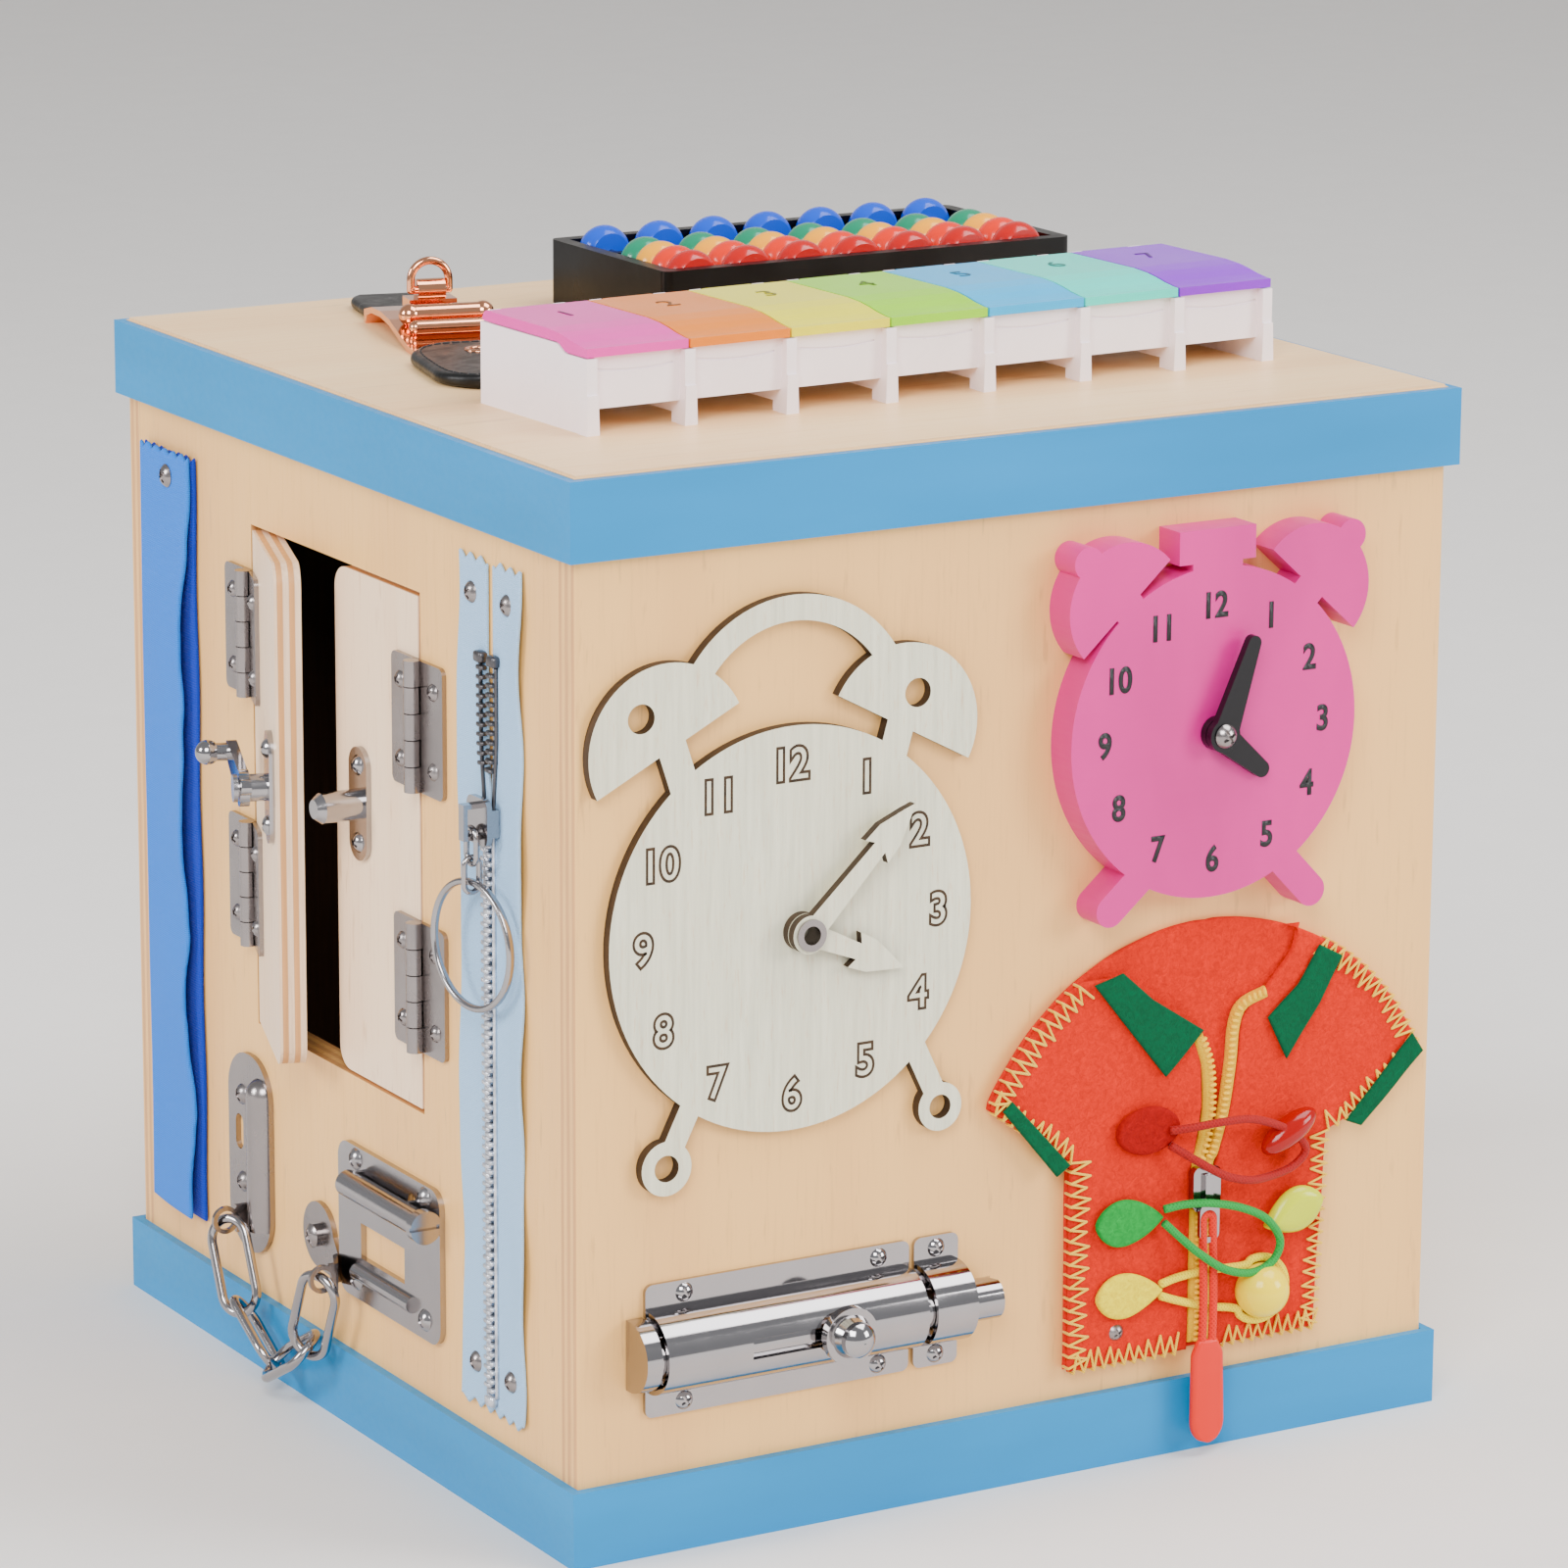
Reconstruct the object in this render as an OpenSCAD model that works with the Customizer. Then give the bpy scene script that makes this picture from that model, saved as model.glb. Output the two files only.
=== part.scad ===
// Wooden busy board: a plywood cube with practice fasteners on its faces.
// Origin at the centre of the base, +Z up, the clock face looks along -Y,
// the door face along -X. All sizes in millimetres.

/* [Cube] */
// Width and depth over the edge trim
cube_w = 260; // [256:1:290]
// Overall height
cube_h = 275; // [270:1:300]
// Thickness of the wooden panels
panel_t = 8; // [6:0.5:10]
// Thickness of the edge trim
trim_t = 2.5; // [1.5:0.25:3.5]
// Height of each trim band
trim_h = 20; // [14:1:24]
// How far the top board stands above its trim
trim_drop = 0.8; // [0.4:0.1:1.5]
// Rounding of the upright board edges
edge_r = 1.5; // [0.5:0.25:3]

/* [Doors] */
// Width of the door opening
opening_w = 97.4; // [88:0.5:102]
// Height of wood between the opening and the top of the cube
lintel_h = 43.5; // [41:0.5:60]
// Centre of the opening from the middle of its face
opening_u = -2.65; // [-6:0.5:2]
// Height of the opening's sill above the base
sill_v = 95.5; // [92:0.5:100]
// Thickness of the doors
door_t = 7; // [5:0.5:9]
// Gap round each door
door_gap = 1.2; // [1.1:0.1:1.6]
// Corner rounding at the free edges of the doors
door_corner = 6; // [2:0.5:8]
// Angle at which the left door stands open
door_rest = 19; // [5:1:40]

/* [Hinges] */
// Width of a hinge laid flat
hinge_w = 28; // [24:1:32]
// Height of a hinge
hinge_h = 34; // [28:1:38]
// Thickness of the hinge leaves
leaf_t = 1.2; // [0.8:0.1:1.6]
// Radius of the hinge knuckles
knuckle_r = 2.2; // [1.8:0.1:2.6]
// Radius of the hinge pins
hinge_pin_r = 1; // [0.7:0.05:1.2]
// Distance of each hinge from the middle of the door
hinge_offset = 34; // [28:1:38]

/* [Latch] */
// Place of the latch plate across the left door
latch_x = 38; // [36:0.5:39]
// Height of the latch above the base
latch_v = 170; // [160:1:180]
// Length of the latch and keeper plates
latch_plate_h = 30; // [26:1:34]
// Width of the latch plate
latch_plate_w = 11; // [9:0.5:12]
// Height at which the lever turns above its door
lever_lift = 6.2; // [5:0.2:8]
// Thickness of the latch lever
lever_t = 2.6; // [2:0.2:3.2]
// Angle of the lever at rest, from the keeper's side
lever_rest = 171; // [150:1:175]
// Distance of the keeper peg from the right hinge line
keeper_x = 33.45; // [31:0.25:34]
// Radius of the keeper peg
peg_r = 4; // [3:0.25:4.5]
// Reach of the keeper peg out of the door
peg_h = 14; // [12:0.5:16]

/* [Chain] */
// Length of the chain track plate
track_h = 55; // [52:1:58]
// Width of the chain track plate
track_w = 25; // [24:0.5:27]
// Span between the two chain eyes
chain_span = 58.6; // [58:0.2:59]
// Height of the chain eyes above the base
chain_v = 41; // [40:0.5:44]
// Distance of the chain from the wooden face
chain_w = 9.2; // [8.6:0.2:10]
// Wire radius of the links
link_wire_r = 1.3; // [1.1:0.05:1.4]
// Width over a link
link_w = 14; // [13.5:0.25:14.5]

/* [Guard plate] */
// Width of the guard plate
guard_w = 58; // [54:1:60]
// Height of the guard plate
guard_h = 41.5; // [40:0.5:44]
// Radius of the guard plate's bar
bar_r = 3.5; // [3:0.25:4]

/* [Zip] */
// Middle of the zip across its face
zip_u = 85.5; // [84:0.25:87]
// Width over both tapes
zip_w = 34; // [32:0.5:36]
// Distance of the tapes' upper ends from the top of the cube
zip_end = 27.5; // [24:0.5:40]
// Thickness of the tapes
tape_t = 1.2; // [0.8:0.1:1.6]
// Spacing of the zip teeth
tooth_pitch = 2.4; // [2.2:0.05:2.8]
// Outer diameter of the split ring
ring_d = 34; // [32:0.5:36]
// Width of the hook-and-loop strap
strap_w = 31; // [28:0.5:32]
// Distance of the strap's upper end from the top of the cube
strap_end = 32; // [28:1:44]

/* [Wooden clock] */
// Radius of the wooden clock's face
wclock_r = 51.5; // [49:0.5:53]
// Middle of the wooden clock across its face
wclock_u = -68.5; // [-70:0.5:-66]
// Place of the wooden clock's middle up the face, as a share of it
wclock_at = 0.581; // [0.57:0.005:0.6]
// Thickness of the wooden clock
wclock_t = 3; // [2.4:0.2:4]
// Length of the wooden minute hand
wminute_len = 42; // [38:0.5:44]
// Length of the wooden hour hand
whour_len = 31; // [27:0.5:33]
// Thickness of the wooden hands
whand_t = 2.4; // [1.8:0.1:3]

/* [Painted clock] */
// Radius of the painted clock's face
pclock_r = 43; // [40:0.5:44]
// Middle of the painted clock across its face
pclock_u = 51; // [49:0.5:54]
// Place of the painted clock's middle up the face, as a share of it
pclock_at = 0.74; // [0.73:0.005:0.75]
// Thickness of the painted clock
pclock_t = 9.5; // [8:0.5:11]
// Length of the painted clock's minute hand
pminute_len = 26.5; // [23:0.5:29]
// Length of the painted clock's hour hand
phour_len = 19; // [16:0.5:21]
// Thickness of the painted clock's hands
phand_t = 2.2; // [1.6:0.1:2.6]

/* [Shirt] */
// Middle line of the shirt across its face
shirt_u = 52; // [50:0.5:54]
// Place of the shirt's hem up the face, as a share of it
shirt_at = 0.034; // [0.03:0.002:0.05]
// Thickness of one layer of felt
felt_t = 2; // [1.6:0.1:2.4]
// Radius of the cord of the button loops
loop_r = 1.1; // [0.9:0.05:1.3]

/* [Barrel bolt] */
// Length of the bolt's housing
bolt_len = 76; // [72:1:80]
// Height of the bolt's plates
bolt_plate_h = 34.5; // [32:0.5:36]
// Radius of the bolt's rod
rod_r = 5.4; // [5:0.1:5.6]
// Left end of the bolt's plate across its face
bolt_u = -109; // [-110:0.5:-107]
// Height of the bolt above the base
bolt_v = 53; // [51:0.5:55]
// How far the rod slides back
bolt_travel = 24; // [18:1:26]

/* [Pill box] */
// Length of the pill box
pill_len = 208; // [200:1:212]
// Depth of the pill box without its hinges
pill_depth = 53; // [48:0.5:55]
// Height of the tray at the back
pill_h = 21; // [20:0.5:24]
// How much lower the tray is at the front
pill_drop = 2; // [1.5:0.25:3]
// Number of bays
pill_bays = 7; // [5:1:8]
// Thickness of the dividing walls
pill_wall = 3; // [2.4:0.1:3.6]
// Thickness of the lids
lid_t = 1.6; // [1.2:0.1:2]
// Height of a lid's crown above the tray
lid_rise = 3; // [2.5:0.25:5]

/* [Abacus] */
// Length of the abacus frame
abacus_l = 128; // [120:1:130]
// Depth of the abacus frame
abacus_d = 65; // [62:0.5:68]
// Height of the abacus frame
abacus_h = 17.5; // [16.5:0.25:19]
// Thickness of the abacus walls
abacus_wall = 4; // [3:0.25:4.5]
// Diameter of the beads
bead_d = 14.6; // [12:0.2:15]
// Thickness of a bead
bead_t = 8.2; // [7.4:0.1:8.4]
// Radius of the rods
abacus_rod_r = 1.1; // [0.9:0.05:1.3]

/* [Clasp] */
// Width of the clasp body
clasp_w = 27; // [24:0.5:29]
// Outer width of the clasp ring
clasp_ring_w = 12.6; // [12:0.2:14]
// Thickness of the leather
leather_t = 3; // [2.4:0.1:3.6]

/* [Clearances] */
// Radial running fit of pins in bores
pin_fit = 0.05; // [0.03:0.01:0.08]
// Gap between pieces that pass or face each other
gap = 0.3; // [0.25:0.01:0.35]

/* [Hidden] */
$fn = 64;
wood_w = cube_w - 2 * trim_t;
wall_h = cube_h - 2 * panel_t;
inner_w = wood_w - 2 * panel_t;
top_trim_v = cube_h - trim_drop - trim_h;
opening_h = cube_h - lintel_h - sill_v;
// Height of the faces between the trims, and how much the clocks and the shirt
// grow or shrink with it
face_h = cube_h - 2 * trim_h;
face_k = face_h / 235;

seam_l = opening_u - opening_w / 2;
seam_r = opening_u + opening_w / 2;
door_w = (opening_w - 3 * door_gap) / 2;
door_h = opening_h - 2 * door_gap;
door_mid_v = sill_v + opening_h / 2;
hinge_axis_w = knuckle_r + gap;
knuckle_len = (hinge_h - 4 * gap) / 5;
hinge_vs = [door_mid_v - hinge_offset, door_mid_v + hinge_offset];
hinge_screw_d = 4.6;
left_hinge_up = 5;
screw_d = 6.4;
screw_h = 1.8;

lever_reach = opening_w - latch_x - keeper_x;
latch_t = 1.4;
post_r = 2.4;

track_u = -55.2;
track_v = chain_v + 17.5;
track_t = 1.5;
eye_u0 = -54.5;
eye_u1 = eye_u0 + chain_span;
eye_hole_r = 2.6;
eye_rim = 1.2;
eye_t = 1.2;
bracket_u = -13.6;
bracket_v = chain_v + 6;
// Directions of the four links below the horizontal, and their roll
link_dip = [66, 28, -28, -66];
link_roll = [-30, 45, -50, 25];
link_slack = 0.9;
// From an end link's contact point to the middle of its wire
end_off = link_wire_r + gap / 2;
link_span = (chain_span - 2 * end_off * cos(66)) / (2 * (cos(66) + cos(28)));

guard_u = 28;
guard_v = 56.8;
guard_t = 1.6;
bar_v = 69;
bar_w = guard_t + bar_r + gap;

zip_v = 26.5;
zip_len = cube_h - zip_end - zip_v;
zip_close_v = 188;
teeth_lo = 50;
teeth_hi = zip_v + zip_len - 28.5;
teeth_t = 2;
tooth_w = 2.6;
part_half = 1;
slider_v = 182;
slider_l = 12;
slider_in = part_half + tooth_w + gap;
slider_w0 = tape_t + teeth_t + gap;
bridge_w = 2.6;
pull_wire_r = 0.75;
pull_v = slider_v - 0.9;
pull_w = slider_w0 + 1.4 + gap + pull_wire_r + 0.5;
pull_a = 10.6;
pull_b = 10.4;
ring_t = 1.8;
ring_tilt = 8;
ring_drop = pull_a + pull_b - 4 * pull_wire_r - 3.5;
strap_u = -99;
strap_v = 31;
strap_len = cube_h - strap_end - strap_v;

shirt_slider_w = felt_t + 2.2 + gap;
pull_lift = 2 * felt_t + 2 * loop_r + 2 * gap + 0.2;
pull_t = 2.2;

whole_pivot_r = 3.3;
pin_screw_r = 1.5;
whour_w = wclock_t + gap;
wminute_w = whour_w + whand_t + gap;
phour_w = pclock_t + gap;
pminute_w = phour_w + phand_t + gap;

bolt_plate_t = 1.2;
housing_r = 10.5;
housing_w = 2.1;
rod_w = housing_w + housing_r - 1.3 - rod_r;
bolt_knob_u = -58;
bolt_keeper_u = bolt_u + bolt_len + 1.5;
bolt_keeper_l = 13;
rod_u0 = bolt_u - 5;
rod_u1 = bolt_keeper_u + bolt_keeper_l + 8;

pill_pos = [-100.5, -84.7];
pill_turn = 2.14;
bay = pill_len / pill_bays;
pill_floor = 6;
pill_lug_r = 1.9;
pill_pin_r = 0.9;
pill_front = 3;
pill_axis_y = pill_depth + pill_lug_r + 0.4;
pill_axis_z = pill_h + 0.2;
lid_names = ["pink", "orange", "yellow", "yellowgreen", "skyblue", "aquamarine", "mediumpurple"];

abacus_x0 = -15;
abacus_y0 = 30;
abacus_floor = 1.5;
rods_n = 7;
rod_pitch = (abacus_l - 2 * abacus_wall) / rods_n;
rod_z = abacus_h - 3.4;
beam_t = 3;
bead_gap = 0.2;
bead_travel = (abacus_d - 2 * abacus_wall - beam_t - 5 * bead_t - 6 * bead_gap) / 2;
beam_y = abacus_wall + 4 * bead_t + 5 * bead_gap + bead_travel;

clasp_pos = [-66, 67];
clasp_turn = -13;
clasp_wire = 1.1;

// ---------------------------------------------------------------- faces
// Places children on the door face: u runs towards the clock face, v up, z outwards
module on_left(u = 0, v = 0, w = 0) {
    translate([-wood_w / 2 - w, -u, v])
        rotate([90, 0, -90])
            children();
}

// Places children on the clock face: u runs along +X, v up, z outwards
module on_front(u = 0, v = 0, w = 0) {
    translate([u, -wood_w / 2 - w, v])
        rotate([90, 0, 0])
            children();
}

// Places children at x and y from a spot on the clock face, sized with the face.
// The spot is u across the face and a share of the way up between the trims
module on_spot(u, share, x = 0, y = 0, w = 0) {
    on_front(u + x * face_k, trim_h + share * face_h + y * face_k, w)
        scale([face_k, face_k, 1])
            children();
}

// Places children on the top board
module on_top(x = 0, y = 0, w = 0) {
    translate([x, y, cube_h + w])
        children();
}

// Left door's own frame: x from its hinge line, y height, z out of its outer face
module left_door_frame() {
    on_left(seam_l, 0, hinge_axis_w)
        rotate([0, -door_rest, 0])
            translate([0, 0, -hinge_axis_w])
                children();
}

module right_door_frame() {
    on_left(seam_r)
        mirror([1, 0, 0])
            children();
}

// ---------------------------------------------------------------- shared shapes
// Rounded rectangle about the origin
module rrect(w, h, r) {
    square([w - 2 * r, h], center = true);
    square([w, h - 2 * r], center = true);
    for (x = [-1, 1])
        for (y = [-1, 1])
            translate([x * (w / 2 - r), y * (h / 2 - r)])
                circle(r);
}

// Straight bar with round ends from a to b
module bar2d(a, b, w) {
    d = b - a;
    len = norm(d);
    translate(a)
        rotate([0, 0, atan2(d[1], d[0])])
            translate([0, 0.01 - w / 2])
                square([len, w - 0.02]);
    translate(a)
        circle(w / 2);
    translate(b)
        circle(w / 2);
}

// Half disc whose dome points along angle a
module half_disc(r, a) {
    rotate([0, 0, a - 90])
        intersection() {
            circle(r);
            translate([-r, 0])
                square([2 * r, r]);
        }
}

// Domed screw head with a cross recess, standing on z = 0
module screw(d = screw_d, h = screw_h) {
    ball = (d * d / 4 + h * h) / (2 * h);
    difference() {
        intersection() {
            cylinder(h = h, d = d);
            translate([0, 0, h - ball])
                sphere(ball);
        }
        for (a = [30, 120])
            rotate([0, 0, a])
                translate([0, 0, h])
                    cube([d * 0.6, d * 0.14, h], center = true);
    }
}

// ---------------------------------------------------------------- cabinet
// Section of the front and back boards, outer face on y = 0
module board_section() {
    translate([-wood_w / 2, edge_r])
        square([wood_w, panel_t - edge_r]);
    translate([-wood_w / 2 + edge_r, 0])
        square([wood_w - 2 * edge_r, panel_t]);
    for (s = [-1, 1])
        translate([s * (wood_w / 2 - edge_r), edge_r])
            circle(edge_r);
}

module front_panel() {
    color("burlywood")
        translate([0, -wood_w / 2, panel_t])
            linear_extrude(wall_h)
                board_section();
}

module back_panel() {
    color("burlywood")
        translate([0, wood_w / 2, panel_t])
            rotate([0, 0, 180])
                linear_extrude(wall_h)
                    board_section();
}

module left_panel() {
    color("burlywood")
        on_left(0, panel_t, -panel_t)
            linear_extrude(panel_t)
                difference() {
                    translate([-inner_w / 2, 0])
                        square([inner_w, wall_h]);
                    translate([seam_l, sill_v - panel_t])
                        square([opening_w, opening_h]);
                }
}

module right_panel() {
    color("burlywood")
        translate([wood_w / 2 - panel_t, -inner_w / 2, panel_t])
            cube([panel_t, inner_w, wall_h]);
}

module top_panel() {
    chamfer = 0.6;
    color("wheat")
        translate([0, 0, cube_h - panel_t]) {
            translate([-wood_w / 2, -wood_w / 2, 0])
                cube([wood_w, wood_w, panel_t - chamfer]);
            translate([0, 0, panel_t - chamfer])
                linear_extrude(chamfer)
                    square(wood_w - 2 * chamfer, center = true);
        }
}

module bottom_panel() {
    color("burlywood")
        translate([-wood_w / 2, -wood_w / 2, 0])
            cube([wood_w, wood_w, panel_t]);
}

module trim_bands() {
    color("dodgerblue")
        for (v = [0, top_trim_v])
            translate([0, 0, v])
                linear_extrude(trim_h)
                    difference() {
                        square(cube_w, center = true);
                        square(wood_w, center = true);
                    }
}

// ---------------------------------------------------------------- doors and hinges
module door_leaf() {
    translate([door_gap, sill_v + door_gap, -door_t])
        linear_extrude(door_t) {
            square([door_w - door_corner, door_h]);
            translate([0, door_corner])
                square([door_w, door_h - 2 * door_corner]);
            for (v = [door_corner, door_h - door_corner])
                translate([door_w - door_corner, v])
                    circle(door_corner);
        }
}

module left_door() {
    color("bisque")
        left_door_frame()
            door_leaf();
}

module right_door() {
    color("bisque")
        right_door_frame()
            door_leaf();
}

// Knuckles numbered from below, as cylinders of radius r about the hinge axis
module knuckles(list, r, extra = 0) {
    for (i = list)
        translate([0, -hinge_h / 2 + i * (knuckle_len + gap) - extra, hinge_axis_w])
            rotate([-90, 0, 0])
                cylinder(h = knuckle_len + 2 * extra, r = r);
}

// One leaf on the +x side of the axis, with its own knuckles and two screws
module hinge_leaf(own, other) {
    side = hinge_w / 2;
    difference() {
        union() {
            translate([gap * 2, -hinge_h / 2, 0])
                cube([side - 2 - gap * 2, hinge_h, leaf_t]);
            translate([side / 2, 0, 0])
                linear_extrude(leaf_t)
                    rrect(side, hinge_h, 2);
            knuckles(own, knuckle_r);
        }
        knuckles(other, knuckle_r + gap, gap);
        translate([-side, -hinge_h, -1])
            cube([side + gap * 2, 2 * hinge_h, 1 + gap]);
    }
    for (y = [-1, 1])
        translate([side - 5, y * hinge_h * 0.3, leaf_t])
            screw(hinge_screw_d, 1.4);
}

module hinge_frame_leaf() {
    mirror([1, 0, 0])
        hinge_leaf([0, 2, 4], [1, 3]);
    translate([0, -hinge_h / 2, hinge_axis_w])
        rotate([-90, 0, 0])
            cylinder(h = hinge_h, r = hinge_pin_r);
}

module hinge_door_leaf() {
    difference() {
        hinge_leaf([1, 3], [0, 2, 4]);
        translate([0, -hinge_h / 2 - 1, hinge_axis_w])
            rotate([-90, 0, 0])
                cylinder(h = hinge_h + 2, r = hinge_pin_r + pin_fit);
    }
}

module hinge_frame_leaves() {
    color("silver")
        for (v = hinge_vs) {
            on_left(seam_l, v + left_hinge_up)
                hinge_frame_leaf();
            on_left(seam_r, v)
                mirror([1, 0, 0])
                    hinge_frame_leaf();
        }
}

module left_door_leaves() {
    color("silver")
        left_door_frame()
            for (v = hinge_vs)
                translate([0, v + left_hinge_up, 0])
                    hinge_door_leaf();
}

module right_door_leaves() {
    color("silver")
        right_door_frame()
            for (v = hinge_vs)
                translate([0, v, 0])
                    hinge_door_leaf();
}

// ---------------------------------------------------------------- latch
module latch_outline(w) {
    bar2d([0, -(latch_plate_h - w) / 2], [0, (latch_plate_h - w) / 2], w);
}

module latch_plate() {
    color("silver")
        left_door_frame()
            translate([latch_x, latch_v, 0]) {
                linear_extrude(latch_t)
                    latch_outline(latch_plate_w);
                cylinder(h = lever_lift - gap, r = post_r + 1.2);
                cylinder(h = lever_lift + lever_t + gap + 1, r = post_r);
                translate([0, 0, lever_lift + lever_t + gap])
                    cylinder(h = 1.2, r = post_r + 1.2);
                for (y = [-1, 1])
                    translate([0, y * latch_plate_h * 0.34, latch_t])
                        screw(5.4, 1.5);
            }
}

// Horn lever: a tapered arm on a hub, with a thumb knob standing on its end
module latch_lever() {
    color("gainsboro")
        left_door_frame()
            translate([latch_x, latch_v, lever_lift])
                rotate([0, 0, lever_rest])
                    difference() {
                        union() {
                            linear_extrude(lever_t) {
                                circle(post_r + 2.4);
                                polygon([[0, -4.4], [lever_reach, -2.6], [lever_reach, 2.6], [0, 4.4]]);
                                translate([lever_reach, 0])
                                    circle(2.6);
                                bar2d([0, 0], [-5.5, -2.5], 4.2);
                            }
                            translate([lever_reach - 1, 0, 0])
                                cylinder(h = lever_t + 5.2, r = 2.4);
                            translate([lever_reach - 1, 0, lever_t + 5.2])
                                sphere(3.3);
                        }
                        translate([0, 0, -1])
                            cylinder(h = lever_t + 2, r = post_r + pin_fit);
                    }
}

module latch_keeper() {
    color("silver")
        right_door_frame()
            translate([keeper_x, latch_v, 0]) {
                linear_extrude(latch_t)
                    latch_outline(latch_plate_w - 1);
                cylinder(h = peg_h - peg_r / 2, r = peg_r);
                translate([0, 0, peg_h - peg_r / 2])
                    cylinder(h = peg_r / 2, r1 = peg_r, r2 = peg_r * 0.62);
                for (y = [-1, 1])
                    translate([0, y * latch_plate_h * 0.34, latch_t])
                        screw(5.4, 1.5);
            }
}

// ---------------------------------------------------------------- door chain
// Ring eye about the u axis at chain height, on a stem from the plate
module chain_eye(from_w) {
    translate([0, 0, chain_w])
        rotate([0, 90, 0])
            difference() {
                union() {
                    translate([0, 0, -eye_t / 2])
                        cylinder(h = eye_t, r = eye_hole_r + eye_rim);
                    translate([eye_hole_r + 0.4, -(eye_hole_r + eye_rim), -eye_t / 2])
                        cube([chain_w - eye_hole_r - 0.4 - from_w, 2 * (eye_hole_r + eye_rim), eye_t]);
                }
                translate([0, 0, -eye_t])
                    cylinder(h = 2 * eye_t, r = eye_hole_r);
            }
}

module chain_track() {
    rib_r = 5;
    color("silver") {
        on_left(track_u, track_v)
            difference() {
                linear_extrude(track_t)
                    rrect(track_w, track_h, track_w / 2 - 1);
                translate([-5.8, 4.6, -1])
                    linear_extrude(track_t + 2)
                        bar2d([0, -2.6], [0, 2.6], 4.6);
            }
        // Raised channel that the chain's end slides in
        on_left(track_u + 6.6, track_v)
            union() {
                rotate([90, 0, 0])
                    translate([0, 0, -track_h * 0.32])
                        intersection() {
                            cylinder(h = track_h * 0.68, r = rib_r);
                            translate([-rib_r, 0, 0])
                                cube([2 * rib_r, rib_r, track_h]);
                        }
                translate([0, track_h * 0.32, 0])
                    intersection() {
                        sphere(rib_r);
                        translate([-rib_r, -rib_r, 0])
                            cube([2 * rib_r, 2 * rib_r, rib_r]);
                    }
            }
        for (p = [[-3.7, 15.5], [-3.7, -9]])
            on_left(track_u + p[0], track_v + p[1], track_t)
                screw(5.8, 1.7);
        on_left(eye_u0, chain_v)
            chain_eye(track_t / 2);
    }
}

// One welded link lying along +x from the origin, its plane the x-y plane
module chain_link(span) {
    c = span + 2 * link_wire_r + link_slack;
    arc_r = link_w / 2 - link_wire_r;
    straight = c - 2 * arc_r;
    translate([-link_wire_r - link_slack / 2 + arc_r, 0, 0]) {
        for (s = [-1, 1])
            translate([0, s * arc_r, 0])
                rotate([0, 90, 0])
                    cylinder(h = straight, r = link_wire_r, $fn = 24);
        rotate([0, 0, 90])
            rotate_extrude(angle = 180, $fn = 48)
                translate([arc_r, 0])
                    circle(link_wire_r, $fn = 24);
        translate([straight, 0, 0])
            rotate([0, 0, -90])
                rotate_extrude(angle = 180, $fn = 48)
                    translate([arc_r, 0])
                        circle(link_wire_r, $fn = 24);
    }
}

// Start of link i along the hanging loop, as [u, v] from the first eye
function link_start(i) =
    i == 0 ? end_off * [cos(link_dip[0]), -sin(link_dip[0])] : link_start(i - 1) + link_span * [cos(link_dip[i - 1]), -sin(link_dip[i - 1])];

module chain_links() {
    color("silver")
        on_left(eye_u0, chain_v, chain_w)
            for (i = [0:3])
                translate([link_start(i)[0], link_start(i)[1], 0])
                    rotate([0, 0, -link_dip[i]])
                        rotate([link_roll[i], 0, 0])
                            chain_link(link_span);
}

// Riveted plate whose tail bends out over the next plate and ends in an eye
module chain_bracket() {
    eye = [eye_u1 - bracket_u, chain_v - bracket_v];
    half = eye_hole_r + eye_rim;
    tail = track_t;
    color("silver")
        on_left(bracket_u, bracket_v) {
            linear_extrude(track_t) {
                circle(9);
                polygon([[-1, 9], [4, 8.1], [eye[0] - 6, eye[1] + half],
                    [eye[0] - 6, eye[1] - half], [-2, -8.8]]);
            }
            cylinder(h = 3.4, r = 3);
            translate([0, 0, 3.4])
                screw(6.6, 1.2);
            translate([eye[0], eye[1], 0])
                difference() {
                    union() {
                        translate([0, half, 0])
                            rotate([90, 0, 0])
                                linear_extrude(2 * half)
                                    polygon([[-8, 0], [-6, 0], [-5.7, tail + gap], [0, chain_w - half - 1],
                                        [eye_t / 2, chain_w - half], [eye_t / 2, chain_w - half / 2],
                                        [-eye_t / 2, chain_w - half / 2], [-eye_t / 2, chain_w - half],
                                        [-6.3, tail + 1.4], [-7.2, tail], [-8, tail]]);
                        translate([-eye_t / 2, 0, chain_w])
                            rotate([0, 90, 0])
                                cylinder(h = eye_t, r = half);
                    }
                    translate([-5, 0, chain_w])
                        rotate([0, 90, 0])
                            cylinder(h = 10, r = eye_hole_r);
                }
        }
}

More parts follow.
